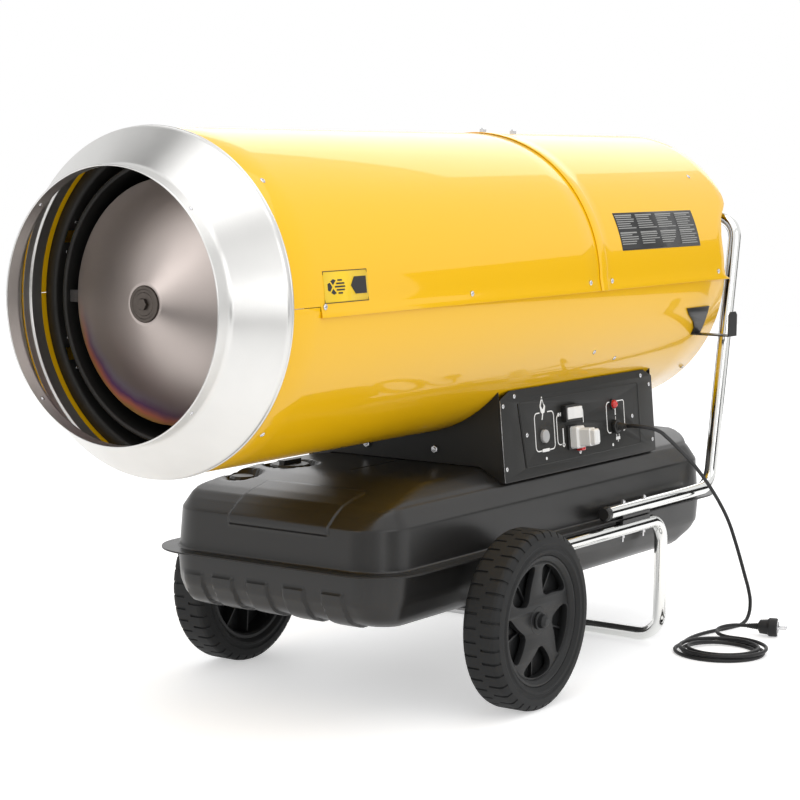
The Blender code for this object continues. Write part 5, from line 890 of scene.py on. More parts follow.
def upper_outline(swell, flanged):
    """Flange, arc over the top, flange: y = -r cos a and z = axis + r sin a, with sloped tails."""
    first = math.asin(FLANGE_RISE / BARREL_RADIUS)
    turn = np.linspace(first, math.pi - first, BARREL_STEPS // 2 + 1)
    reach = BARREL_RADIUS + swell
    arc = np.stack([-reach * np.cos(turn), AXIS_Z + reach * np.sin(turn)], -1)
    low = (-reach - FLANGE_FLARE, AXIS_Z - FLANGE_DROP) if flanged else (-reach, AXIS_Z + SEAM_UPPER)
    tail = np.linspace(low, arc[0], 4)[:-1]
    return np.concatenate([tail, arc, tail[::-1] * (-1, 1)])


def upper_angles():
    """The angle over the panel's side of each column of an upper half, in degrees."""
    first = math.asin(FLANGE_RISE / BARREL_RADIUS)
    turn = np.degrees(np.linspace(first, math.pi - first, BARREL_STEPS // 2 + 1))
    return np.concatenate([[-3, -2, -1], np.minimum(turn, 180 - turn), [-1, -2, -3]])


def lower_outline(swell, flanged):
    """An arc under the barrel, its ends tucked up behind the flanges."""
    first = math.asin((-TUCK if flanged else SEAM_LOWER) / BARREL_RADIUS)
    turn = np.linspace(first, -math.pi - first, BARREL_STEPS // 2 + 7)
    reach = BARREL_RADIUS + swell
    return np.stack([-reach * np.cos(turn), AXIS_Z + reach * np.sin(turn)], -1)


def rear_edge(share, start):
    """A station between a start and the hood's rear line, whose middle is cut away at the sides."""
    def station(angles):
        rear = np.interp(angles, REAR_ANGLES, REAR_STATIONS)
        rear = np.where(angles < -2.5, FLANGE_END, rear)
        return start + (rear - start) * share
    return station


def casing():
    """Front upper half, hood with its joggled lap, and the long lower half."""
    angles = upper_angles()
    lower_start = FLANGE_START - FLANGE_STEP
    front = [(SHELL_FRONT, 0, False), (lower_start, 0, False), (FLANGE_START, 0, True)]
    front += [(x, 0, True) for x in np.linspace(FLANGE_START, FRONT_SHELL_REAR, 12)[1:]]
    hood = [(LAP_START, LAP_SWELL, True), (LAP_END - LAP_STRAIGHT, LAP_SWELL, True)]
    hood += [(LAP_END + LAP_EASE * s, LAP_SWELL * (1 - ease(s)), True) for s in np.linspace(0, 1, 6)]
    hood += [(rear_edge(s, LAP_END + LAP_EASE), 0, True) for s in np.linspace(0, 1, 24)[1:]]
    lower = [(SHELL_FRONT, 0, False), (FLANGE_START - FLANGE_STEP * 2, 0, False)]
    lower += [(x, 0, True) for x in np.linspace(lower_start, SHELL_REAR, 14)]
    for name, solid, rows, outline, middle in (
        ("casing_front_upper", "front_upper_shell", front, upper_outline, 0.6),
        ("casing_hood", "rear_upper_shell", hood, upper_outline, 1.3),
        ("casing_lower", "lower_shell", lower, lower_outline, 0.8),
    ):
        piece(name, half_shell(rows, outline, angles), "casing_yellow", replaces=solid,
              wall=SHEET, edge=SHEET_EDGE, away=(middle, 0, AXIS_Z))


def outlet():
    """Spun cone: plain lip with a hemmed edge, a concave fillet, the cone and a rolled skirt.

    Behind it stands the lining of the mouth, a band with a bead round its inside.
    """
    inner = CONE_SKIRT_RADIUS - CONE_SHEET
    skirt_end = CONE_LENGTH - 2 * ROLL_RADIUS
    outer = filleted([
        (LIP_HEM, LIP_RADIUS), (LIP_LENGTH, LIP_RADIUS), (CONE_SKIRT_START, CONE_SKIRT_RADIUS),
        (skirt_end, CONE_SKIRT_RADIUS),
    ], (CONE_FILLET, SKIRT_FILLET), 12)
    inside = filleted([
        (skirt_end, inner), (CONE_SKIRT_START + INSIDE_SHIFT, inner),
        (LIP_LENGTH + INSIDE_SHIFT, LIP_RADIUS - CONE_SHEET), (LIP_HEM, LIP_RADIUS - CONE_SHEET),
    ], (SKIRT_FILLET_INSIDE, CONE_FILLET + CONE_SHEET), 12)
    turn = np.linspace(math.radians(200), math.radians(-110), 14)
    roll = np.stack([
        CONE_LENGTH - ROLL_RADIUS + ROLL_RADIUS * np.cos(turn),
        CONE_SKIRT_RADIUS - CONE_SHEET / 2 + ROLL_RADIUS * np.sin(turn) * ROLL_FLATNESS,
    ], -1)
    turn = np.linspace(-math.pi / 2, -math.pi * 3 / 2, 8)
    hem = np.stack([
        HEM_RADIUS + HEM_RADIUS * np.cos(turn), LIP_RADIUS - CONE_SHEET / 2 + HEM_RADIUS * np.sin(turn),
    ], -1)
    profile = np.concatenate([outer, roll, inside, hem])
    start, face = SHELL_FRONT + 0.0006, inner - LINER_INSET
    back = face + CONE_SHEET
    liner = filleted([
        (start, face), (start, back), (LINER_REAR, back), (LINER_REAR, face),
        (BEAD_STATION + BEAD_HALF, face), (BEAD_STATION, face - BEAD_HEIGHT),
        (BEAD_STATION - BEAD_HALF, face), (start, face),
    ], (0.0006, 0.0006, 0.0006, 0.0010, 0.0026, 0.0010), 4)
    piece("outlet_spinning", [
        turned(profile, OUTLET_STEPS, closed=True, height=AXIS_Z),
        turned(liner, DUCT_STEPS, closed=True, height=AXIS_Z),
    ], "spun_aluminium", replaces="outlet_cone")


def duct():
    """Heat shield with its windows, combustion chamber with its rolled rim, and the flame deflector."""
    profile = filleted([
        (SHIELD_FRONT + 0.0004, SHIELD_SEAT - 0.0004), (SHIELD_FRONT + 0.0004, SHIELD_RADIUS),
        (WINDOW_STATIONS[0], SHIELD_RADIUS), (WINDOW_STATIONS[1], SHIELD_RADIUS),
        (SHIELD_REAR - 0.0016, SHIELD_RADIUS), (SHIELD_REAR - 0.0004, SHIELD_SEAT - 0.0004),
    ], (0.006, 0, 0, 0.006))
    points, faces, uvs = turned(profile, DUCT_STEPS, height=AXIS_Z)
    middle = points[faces].mean(1)
    angle = np.degrees(np.arctan2(np.abs(middle[:, 2] - AXIS_Z), np.abs(middle[:, 1])))
    window = (middle[:, 0] > WINDOW_STATIONS[0]) & (middle[:, 0] < WINDOW_STATIONS[1])
    window &= (angle > WINDOW_ANGLES[0]) & (angle < WINDOW_ANGLES[1])
    piece("duct_shield", (points, faces[~window], uvs[~window]), "chamber_steel",
          replaces="inner_shield", wall=SHIELD_SHEET, away=(0.6, 0, AXIS_Z))
    turn = np.linspace(math.radians(-60), math.radians(-300), 14)
    bead = np.stack([
        CHAMBER_FRONT + CHAMBER_ROLL + CHAMBER_ROLL * np.cos(turn),
        CHAMBER_RADIUS + CHAMBER_ROLL * np.sin(turn),
    ], -1)
    start, back = CHAMBER_FRONT + 0.0095, CHAMBER_REAR - CHAMBER_SHEET
    inside = CHAMBER_RADIUS - CHAMBER_SHEET
    profile = np.concatenate([bead, [
        (start, CHAMBER_RADIUS), (CHAMBER_REAR, CHAMBER_RADIUS), (CHAMBER_REAR, CHAMBER_MOUTH),
        (back, CHAMBER_MOUTH), (back, inside), (start, inside),
    ]])
    piece("chamber_drum", turned(profile, DUCT_STEPS, closed=True, height=AXIS_Z),
          "chamber_steel", replaces="combustion_chamber")
    steel, curl = CHAMBER_SHEET, DEFLECTOR_RIM + DEFLECTOR_CURL
    outer = filleted([
        (DEFLECTOR_TIP, DEFLECTOR_BORE), (DEFLECTOR_TIP, DEFLECTOR_FLAT), (DEFLECTOR_RIM, DEFLECTOR_RADIUS),
        (curl, DEFLECTOR_RADIUS),
    ], (0.010, 0.004))
    inner = filleted([
        (curl, DEFLECTOR_RADIUS - steel), (DEFLECTOR_RIM + steel, DEFLECTOR_RADIUS - steel),
        (DEFLECTOR_TIP + steel, DEFLECTOR_FLAT), (DEFLECTOR_TIP + steel, DEFLECTOR_BORE),
    ], (0.002, 0.010))
    rows = np.concatenate([outer[:-1], inner])
    piece("deflector_dish", turned(rows, DUCT_STEPS, closed=True, height=AXIS_Z), "hot_steel",
          replaces="flame_deflector")
    face = (DEFLECTOR_TIP - 0.0003, 0)
    washer = filleted(np.add(WASHER_LINE, face), (0.0004, 0.0012, 0.0004, 0.0004, 0.0004, 0.0004))
    head = filleted(np.add(HUB_HEAD_LINE, face), 0.0012, 4)
    shank = np.add(HUB_SHANK_LINE, face)
    piece("deflector_hub_bolt", [
        turned(line, steps, height=AXIS_Z) for line, steps in ((washer, 64), (head, 6), (shank, 24))
    ], "bolt_steel", replaces="deflector_bolt")


def tank_rings(levels, side_insets, corner_radii):
    """Rounded rectangles in plan, one per level of (inset, height), with matching columns.

    Each corner's arc is its centre plus its radius times (cos, sin); the sides run straight between.
    """
    inset, height = np.asarray(levels, float).T
    x0, x1, half = TANK_FRONT + inset, TANK_REAR - inset, TANK_HALF - side_insets
    signs = ((1, -1), (1, 1), (-1, 1), (-1, -1))
    arcs = []
    for k, (sx, sy) in enumerate(signs):
        turn = math.radians(90) * (k - 1) + np.linspace(0, math.radians(90), TANK_ARC_POINTS)
        middle = np.stack([np.where(sx > 0, x1, x0) - sx * corner_radii, sy * (half - corner_radii)], -1)
        round_part = np.stack([np.cos(turn), np.sin(turn)], -1)
        arcs.append(middle[:, None] + corner_radii[:, None, None] * round_part[None])
    columns = []
    for k, count in enumerate(TANK_COLUMNS):
        columns.append(arcs[k])
        share = np.linspace(0, 1, count + 1)[1:-1, None]
        start, end = arcs[k][:, -1:], arcs[(k + 1) % 4][:, :1]
        columns.append(start + (end - start) * share)
    flat = np.concatenate(columns, 1)
    deep = np.broadcast_to(height[:, None, None], (*flat.shape[:2], 1))
    return np.concatenate([flat, deep], -1)


def pushed(points, amount):
    """Moves a grid's points along its own normal, which is the cross product of its two ways."""
    across = np.roll(points, -1, 1) - np.roll(points, 1, 1)
    along = np.gradient(points, axis=0)
    normal = np.cross(across, along)
    size = np.linalg.norm(normal, axis=-1, keepdims=True)
    return points + normal / np.maximum(size, 1e-12) * amount[..., None]


def soft_least(a, b, blend):
    """The lesser of two values, rounded where they meet."""
    return (a + b - np.sqrt((a - b) ** 2 + blend**2)) / 2


def band(value, low, high, soft):
    """A soft-edged mask: 1 between low and high, 0 a little outside them."""
    return ease((value - low) / soft + 0.5) * ease((high - value) / soft + 0.5)


def tank_upper():
    """Wall, crease and plateau; the deck rises from it, and the ramp, the seats and the pad shape it.

    The deck's share is the least of its distances from foot to top at the sides, front and rear.
    """
    seam = SEAM_HEIGHT
    wall_line = filleted([
        (0, seam + 0.0002), (0, seam + TANK_SHEET), (TANK_RIM, seam + TANK_SHEET), CREASE, PLATEAU,
        PLATEAU_INNER,
    ], (0.0005, 0.004, 0.012, 0.014), 7)
    top = [(inset, PLATEAU[1]) for inset in np.linspace(TOP_START, TANK_SPINE, 44)]
    levels = np.concatenate([spaced(wall_line, 0.004), top])
    inset = levels[:, 0]
    corners = np.interp(inset, (0, 0.05, TANK_SPINE), (TANK_CORNER, 0.06, 0.001))
    points = tank_rings(levels, inset, corners)
    x, y, z = points[..., 0], points[..., 1], points[..., 2]
    ahead = ease((x - DECK_STEP[0]) / DECK_STEP[1])
    top_half = DECK_TOP_HALF_AHEAD + (DECK_TOP_HALF - DECK_TOP_HALF_AHEAD) * ahead
    side = (DECK_FOOT_HALF - np.abs(y)) / (DECK_FOOT_HALF - top_half)
    front = (x - DECK_FRONT[0]) / (DECK_FRONT[1] - DECK_FRONT[0])
    rear = (DECK_REAR[0] - x) / (DECK_REAR[0] - DECK_REAR[1])
    share = soft_least(soft_least(side, front, DECK_BLEND), rear, DECK_BLEND)
    share = np.maximum(soft_least(share, 1, DECK_BLEND), 0)
    on_top = inset[:, None] > PLATEAU[0]
    points[..., 2] += np.where(on_top, DECK_RISE * share, 0)
    ramp = soft_least(points[..., 2], np.interp(x, RAMP_STATIONS, RAMP_HEIGHTS), RAMP_BLEND)
    points[..., 2] = np.where(inset[:, None] > CREASE[0] - 0.002, ramp, z)
    for station, across, radius in SEATS:
        seat = ease((radius - np.hypot(x - station, y - across)) / SEAT_EASE + 0.5)
        points[..., 2] += (SEAT_HEIGHT - points[..., 2]) * seat * on_top
    past = np.stack([np.abs(x - PAD_MIDDLE[1]) - PAD_HALF[1], np.abs(y - PAD_MIDDLE[0]) - PAD_HALF[0]], -1)
    far = np.linalg.norm(np.maximum(past + PAD_CORNER, 0), axis=-1)
    pad = ease((PAD_CORNER - far) / PAD_STEP + 0.5) * ease((points[..., 2] - PAD_LOW) / PAD_STEP + 0.5)
    made, faces, uvs = grid(pushed(points, PAD_PROUD * pad), wrap_columns=True)
    middles = made[faces].mean(1)
    kept = np.hypot(middles[:, 0] - FILLER_PLACE[0], middles[:, 1] - FILLER_PLACE[1]) >= FILLER_HOLE
    piece("tank_upper_pressing", (made, faces[kept], uvs[kept]), "tank_black",
          replaces="tank_upper", wall=TANK_SHEET, away=(1.0, 0, 0.0))


def tank_lower():
    """Belly, bilge and bottom; ribs press the front in, and the floor lifts towards the rear."""
    seam = SEAM_HEIGHT
    line = filleted([
        (0, seam - 0.0002), (0, seam - TANK_SHEET), (TANK_RIM, seam - TANK_SHEET), BELLY, BILGE,
        BOTTOM, BOTTOM_INNER,
    ], (0.0005, 0.004, 0.030, 0.040, 0.060), 9)
    flat = [(inset, BOTTOM[1]) for inset in np.linspace(BOTTOM_FLAT, BOTTOM_SPINE, 12)]
    levels = np.concatenate([spaced(line, 0.003), flat])
    inset = levels[:, 0]
    sides = np.where(inset > BELLY[0], BELLY[0] + (inset - BELLY[0]) / 2, inset)
    middle = np.interp(inset, (BOTTOM_FLAT, BOTTOM_SPINE), (TOP_START, TANK_SPINE))
    sides = np.where(inset > BOTTOM_FLAT, middle, sides)
    corners = np.interp(inset, (0, 0.05, BOTTOM_SPINE), (TANK_CORNER, 0.05, 0.0005))
    points = tank_rings(levels, sides, corners)
    x, y, z = points[..., 0], points[..., 1], points[..., 2]
    depth = np.clip((BELLY[1] - z) / (BELLY[1] - BOTTOM[1]), 0, 1)
    lift = FLOOR_RISE * depth * np.clip((x - TANK_REAR + FLOOR_RUN) / FLOOR_RUN, 0, 1)
    ribs = sum(band(y - place, -RIB_HALF_WIDTH, RIB_HALF_WIDTH, RIB_FLANK) for place in RIB_PLACES)
    ribs = ribs * ease((RIB_TOP - z) / RIB_CROWN + 0.5) * ease((RIB_STATION - x) / RIB_END + 0.5)
    points = pushed(points, -RIB_PROUD * ribs)
    points[..., 2] += lift
    piece("tank_lower_pressing", grid(points, wrap_columns=True), "tank_black",
          replaces="tank_lower", wall=TANK_SHEET, away=(1.0, 0, 0.6))


def box():
    """The control box: a folded panel on each side, cut for its fittings on the near one."""
    slope, chamfer, drop = PANEL_SLOPE, BOX_CHAMFER, BOX_CHAMFER_DROP
    outline = filleted_loop([
        (BOX_FRONT, 0), (BOX_REAR, 0), (BOX_REAR, slope - drop), (BOX_REAR - chamfer, slope),
        (BOX_FRONT + chamfer, slope), (BOX_FRONT, slope - drop),
    ], 0.003, 4)
    half = np.array(SWITCH_SIZE) / 2 - SWITCH_LIP
    holes = [
        circle(LAMP_RADIUS + LAMP_GAP, 40, LAMP_PLACE), circle(RESET_RADIUS + RESET_GAP, 48, RESET_PLACE),
        circle(GLAND_HOLE, 40, GLAND_PLACE),
        filleted_loop(np.array(SWITCH_PLACE) + half * ((-1, -1), (1, -1), (1, 1), (-1, 1)), 0.001, 3),
        filleted_loop(PANEL_SLOT, 0.001, 3),
    ]
    far = on_panel()
    far[1] *= -1
    for name, solid, loops, seat in (
        ("panel_plate", "control_panel", [outline, *holes], on_panel()),
        ("far_panel_plate", "box_far_panel", [outline], far),
    ):
        piece(name, placed(raised(loops, BOX_SHEET, 0.0005), seat), "box_black", replaces=solid)


def on_axle(side, facing):
    """Axes at a wheel's middle: X along the axle, towards or away from the panel's side."""
    place = (WHEEL_STATION, side * WHEEL_MIDDLE, WHEEL_RADIUS)
    return axes(place, (0, facing, 0), (-facing, 0, 0), (0, 0, 1))


def tyre(name, side):
    """A solid tyre: a section spun round, its tread cut by two rows of bars half a pitch apart."""
    half, radius = WHEEL_HALF, WHEEL_RADIUS
    line = filleted([
        *((-half + inset, reach) for inset, reach in TYRE_WALL), (-half + 0.0012, radius - 0.011),
        (-half + 0.007, radius - 0.0020), (-half + 0.014, radius), (-0.0050, radius),
        (-0.0042, radius), (0, radius),
    ], (0.002, 0.001, 0.001, 0.001, 0.001, 0.004, 0.006, 0.004, 0, 0), 3)
    line = np.concatenate([line, line[-2::-1] * (-1, 1)])
    turn = (np.arange(TREAD_PITCHES)[:, None] + TREAD_PITCH) / TREAD_PITCHES * math.tau
    turn = turn.ravel()
    across = np.abs(line[:, 0])
    bars = np.tile(TREAD_CUTS, TREAD_PITCHES)[np.where(line[:, 0] < 0, 0, 1)]
    from_middle, from_side, down = TREAD_REGION
    inside = (across > from_middle) & (across < half - from_side) & (line[:, 1] > radius - down)
    r = line[:, 1:] - TREAD_DEPTH * bars * inside[:, None]
    points = np.stack([np.broadcast_to(line[:, :1], r.shape), -r * np.cos(turn), r * np.sin(turn)], -1)
    form = placed(grid(points, wrap_rows=True, wrap_columns=True), on_axle(side, 1))
    piece(f"tyre_{name}_tread", form, "tyre_rubber", body=f"wheel_{name}", replaces=f"tyre_{name}")


def rim_windows(lean):
    """Five windows between star-shaped spokes.

    Each is a rounded rectangle of (across, up) bent into polar form: the radius grows with up, the
    half angle is foot + spread times up to the power bend, and the inner end leans by the foot's angle.
    """
    frame_loop = filleted_loop([(-1, 0), (1, 0), (1, 1), (-1, 1)], (0.66, 0.66, 0.28, 0.28), 8)
    flat = spaced(np.concatenate([frame_loop, frame_loop[:1]]), 0.12)[:-1]
    across, up = flat[:, 0], np.clip(flat[:, 1], 0, 1)
    radius = RIM_WINDOW_INNER + RIM_WINDOW_REACH * up
    angle = lean * WINDOW_FOOT * (1 - up) + across * (WINDOW_FOOT + WINDOW_SPREAD * up**WINDOW_BEND)
    loops = []
    for k in range(RIM_WINDOWS):
        turn = np.radians(angle + 360 / RIM_WINDOWS * k + RIM_WINDOW_TURN * lean)
        loops.append(np.stack([radius * np.sin(turn), radius * np.cos(turn)], -1))
    return loops


def rim(name, side):
    """A moulded wheel: a lipped band, a web with five windows over a blind back, a hub and ribs."""
    half, face, edge = WHEEL_HALF - 0.006, RIM_FACE, RIM_RADIUS
    band_line = filleted([
        (-half, edge), (half, edge), (half, edge - 0.0045), (face + 0.0035, edge - 0.0105),
        (face, edge - 0.0125), (face - 0.010, edge - 0.0130), (-half + 0.004, edge - 0.0095),
        (-half, edge - 0.006), (-half, edge),
    ], (0.0012, 0.0015, 0.002, 0.002, 0.001, 0.001, 0.001), 3)
    hub = filleted([
        (-half, HUB_BORE), (-half, 0.026), (face - 0.004, 0.030), (face + 0.0006, 0.0245),
        (face + 0.0006, HUB_BORE),
    ], (0.001, 0.002, 0.003), 4)
    back = filleted([
        (0.005, HUB_RADIUS), (0.005, BACK_RADIUS), (0.002, BACK_RADIUS), (0.002, HUB_RADIUS),
        (0.005, HUB_RADIUS),
    ], 0.0005, 2)
    loops = [circle(edge - 0.0115, 120), circle(0.012, 30), *rim_windows(side)]
    points, faces, uvs = raised(loops, RIM_WEB, 0.0008)
    web = (np.stack([points[:, 2] + face, points[:, 0], points[:, 1]], -1), faces, uvs)
    forms = [turned(band_line, 120, closed=True), turned(hub, 60, closed=True),
             turned(back, 120, closed=True), web]
    rib = raised([[
        (HUB_RADIUS, -half + 0.008), (RIM_RIB_REACH, -half + 0.012), (RIM_RIB_REACH, 0.012),
        (HUB_RADIUS, 0.012),
    ]], RIM_RIB)
    for k in range(RIM_RIBS):
        turn = math.tau * (k + 0.5) / RIM_RIBS
        radial = outward(turn)
        middle = (0, RIM_RIB / 2 * math.sin(turn), RIM_RIB / 2 * math.cos(turn))
        forms.append(placed(rib, axes(middle, radial, (1, 0, 0), np.cross(radial, (1, 0, 0)))))
    seat = on_axle(side, side)
    piece(f"wheel_rim_{name}_moulding", [placed(form, seat) for form in forms], "wheel_plastic",
          body=f"wheel_{name}", replaces=f"wheel_rim_{name}")


def wheels():
    """Both wheels, and the pressed caps on the axle's ends."""
    cap = turned(filleted(np.add(HUB_CAP_LINE, (HUB_CAP_FACE, 0)), (0.0005, 0.001, 0.001, 0.001, 0.004), 4))
    for name, side in (("left", -1), ("right", 1)):
        tyre(name, side)
        rim(name, side)
        piece(f"hub_cap_{name}_dome", placed(cap, on_axle(side, side)), "wheel_plastic",
              replaces=f"hub_cap_{name}")


def tubes():
    """Stand and handle: a circle carried along a bent route that is mirrored to the far side."""
    ring = circle(TUBE_RADIUS, TUBE_POINTS)
    stand = [
        (WHEEL_STATION, STAND_START), (WHEEL_STATION, STAND_HEIGHT), (STAND_LEG, STAND_HEIGHT),
        (STAND_LEG, TUBE_RADIUS),
    ]
    handle = [(HANDLE_FRONT, HANDLE_HEIGHT), (HANDLE_FOOT, HANDLE_HEIGHT), HANDLE_TOP]
    for name, side in (("stand_tube", stand), ("handle_tube", handle)):
        corners = [(x, -TUBE_SIDE, z) for x, z in side] + [(x, TUBE_SIDE, z) for x, z in side[::-1]]
        route = spaced(filleted(corners, TUBE_BEND, 14), TUBE_STRETCH)
        piece(f"{name}_bent", swept(route, ring, TUBE_FACING), "chrome", replaces=name)


def screw(radius, height):
    """A domed head with a cross recess: height (1 - 0.75 s squared) less the cross, s = r / radius."""
    s = np.array(SCREW_RINGS)[:, None]
    turn = np.arange(SCREW_COLUMNS) * math.tau / SCREW_COLUMNS
    u, v = s * np.cos(turn), s * np.sin(turn)
    wide, far, soft = SCREW_CROSS
    slots = [band(a, -wide, wide, soft) * band(b, -far, far, soft) for a, b in ((u, v), (v, u))]
    z = height * (1 - 0.75 * s**2) - height * CROSS_DEPTH * np.maximum(*slots)
    z[-1] = -height * SCREW_FOOT
    return grid(np.stack([u * radius, v * radius, z], -1), wrap_columns=True)


def screws():
    """Cross-head screws on the casing and the box."""
    head, small = screw(*CASING_HEAD), screw(*PANEL_HEAD)
    forms = []
    for far in (False, True):
        for station, degrees in CASING_SCREWS:
            angle = math.radians(degrees)
            forms.append(placed(head, on_barrel(station, math.pi - angle if far else angle)))
        for station in FLANGE_SCREWS:
            lift = FLANGE_SCREW_LIFT + (LAP_LIFT if LAP_START < station < LAP_END else 0)
            angle = FLANGE_SCREW_RISE / BARREL_RADIUS
            forms.append(placed(head, on_barrel(station, math.pi - angle if far else angle, lift)))
    piece("casing_screws", forms, "zinc")
    piece("panel_screws", [placed(small, on_panel(*place)) for place in PANEL_SCREWS], "zinc")


def fixings():
    """Rivets, nuts and bolts: on the lip, the shield's brackets, the box, the tubes and the top."""
    head = turned(filleted(RIVET_LINE, (0, 0.0008, 0.0010), 3), 24)
    seats = [
        on_round(LIP_RIVET_STATION, math.radians(45 + 90 * k), radius, way)
        for k in range(4) for radius, way in ((LIP_RADIUS, 1), (LIP_RADIUS - CONE_SHEET, -1))
    ]
    seats += [
        on_round(SHIELD_RIVET_STATION, math.radians(side + rivet), SHIELD_RADIUS - SHIELD_SHEET, -1)
        for side in (0, 180) for rivet in SHIELD_RIVETS
    ]
    piece("outlet_rivets", [stood(head, seat) for seat in seats], "zinc")

    nut, small = turned(NUT_LINE, 6), turned(np.array(NUT_LINE) * SMALL_NUT, 6)
    shank = turned(BOLT_LINE, 16)
    forms = [
        stood(nut, axes((BOX_FRONT - 0.0010, y, z), (0, 1, 0), (0, 0, 1), (-1, 0, 0))) for y, z in BOX_BOLTS
    ]
    for station in TOP_BOLTS:
        lift = LAP_SWELL if LAP_START < station < LAP_END else 0
        forms.append(stood(nut, on_barrel(station, math.pi / 2, lift)))
    for side in (-TUBE_SIDE, TUBE_SIDE):
        for station in SADDLE_STATIONS:
            above = axes((station, side, HANDLE_HEIGHT + TUBE_RADIUS), *np.eye(3))
            below = axes((station, side, STAND_HEIGHT - TUBE_RADIUS), (1, 0, 0), (0, -1, 0), (0, 0, -1))
            forms += [stood(small, above), stood(small, below), stood(shank, below)]
    piece("nuts_and_bolts", forms, "zinc")


def panel_marks():
    """White pictograms without words: loops, a flame, a thermometer, a plug, and the on and off signs."""
    lines = [stroke(filleted(corners, radius, 5)) for radius, *corners in PANEL_LOOPS]
    lines += [stroke(ends, width) for width, *ends in PANEL_BARS]
    flame = filleted_loop(FLAME, (0.001, 0.006, 0.004, 0.004, 0.004, 0.001), 4)
    core = filleted_loop(FLAME_CORE, (0.0005, 0.002, 0.002, 0.001), 4)
    rings = [[circle(radius, 24, middle) for radius in radii] for middle, *radii in PANEL_RINGS]
    forms = [raised(loops, INK_DEPTH) for loops in [*([line] for line in lines), [flame, core], *rings]]
    forms += [raised([circle(0.0030, 24, place)], 0.0012) for place in PANEL_DOTS]
    piece("panel_pictograms", [placed(form, on_panel(out=0.0004)) for form in forms], "panel_ink")
    (x0, y0), (x1, y1), step = FRAME_LOW, FRAME_HIGH, FRAME_WIDTH
    outer = filleted_loop([(x0, y0), (x1, y0), (x1, y1), (x0 - FRAME_LEAN[0], y1)], 0.006, 5)
    inner = filleted_loop([
        (x0 + step, y0 + step), (x1 - step, y0 + step), (x1 - step, y1 - step),
        (x0 - FRAME_LEAN[1], y1 - step),
    ], 0.0045, 5)
    for name, form, out, coat in (
        ("panel_fold_line", raised([outer, inner], 0.0010, 0.0003), 0.0005, "box_black"),
        ("thermostat_latch", raised([filleted_loop(LATCH, 0.002, 3)], 0.012, 0.0008), 0.012, "red_lens"),
        # the zinc strip on the front edge is a painted highlight, not bare metal
        ("panel_edge_highlight", raised([EDGE_HIGHLIGHT_STRIP], 0.0006), 0.0004, "zinc"),
    ):
        piece(name, placed(form, on_panel(out=out)), coat)


def sticker(name, patch, rows, coat):
    """A thin plate on the casing over (first station, last station, first angle, last angle)."""
    x0, x1, a0, a1 = patch
    width, height = x1 - x0, (a1 - a0) * BARREL_RADIUS
    flat = np.broadcast_arrays(np.array([0, width])[:, None], np.linspace(0, height, rows)[None], 0.0)
    piece(name, bent(grid(np.stack(flat, -1)), x0, a0, LABEL_OUT), coat,
          wall=LABEL_SHEET, away=(x0, 0, AXIS_Z))
    return width, height


def labels():
    """Two stickers on the casing: a dark one with columns of bars, and a yellow one with an air mark."""
    width, height = sticker("instruction_label", INSTRUCTIONS, 25, "label_dark")
    chance = np.random.default_rng(7)
    low, high = [], []
    column, line = width / COLUMNS, height / ROW_SHARE
    for k in range(COLUMNS):
        left, reach = column * k + COLUMN_MARGIN, column - 2 * COLUMN_MARGIN
        for row in range(ROWS):
            if row in EMPTY_ROWS and k < COLUMNS - 1:
                continue
            head = row in HEAD_ROWS
            top = height - line * (row + 1)
            share = HEAD_LENGTH if head else chance.uniform(*ROW_LENGTHS)
            low.append((left, top - line * (HEAD_HEIGHT if head else ROW_HEIGHT)))
            high.append((left + reach * share, top))
    bars = bent(slabs(low, high, LABEL_SHEET), INSTRUCTIONS[0], INSTRUCTIONS[2], PRINT_OUT)
    piece("instruction_lines", bars, "label_print")

    size = np.array(sticker("air_label", AIR_MARK, 17, "label_yellow"))
    corners = np.array([(0, 0), (1, 0), (1, 1), (0, 1)])
    rim_line = [corners * size, AIR_EDGE + corners * (size - 2 * AIR_EDGE)]
    forms = [raised(loops, LABEL_SHEET) for loops in (rim_line, *([shape * size] for shape in AIR_SHAPES))]
    share = np.array(AIR_BARS)
    start = AIR_POINT[0] + AIR_POINT[1] * np.abs(share - 0.5)
    reach = AIR_ARC[0] + AIR_ARC[1] * np.sqrt(1 - ((share - 0.5) / AIR_ARC[2]) ** 2)
    low, high = np.stack([start, share - AIR_BAR_HALF], -1), np.stack([reach, share + AIR_BAR_HALF], -1)
    forms.append(slabs(low * size, high * size, LABEL_SHEET))
    piece("air_label_print", [bent(form, AIR_MARK[0], AIR_MARK[2], PRINT_OUT) for form in forms],
          "black_plastic")


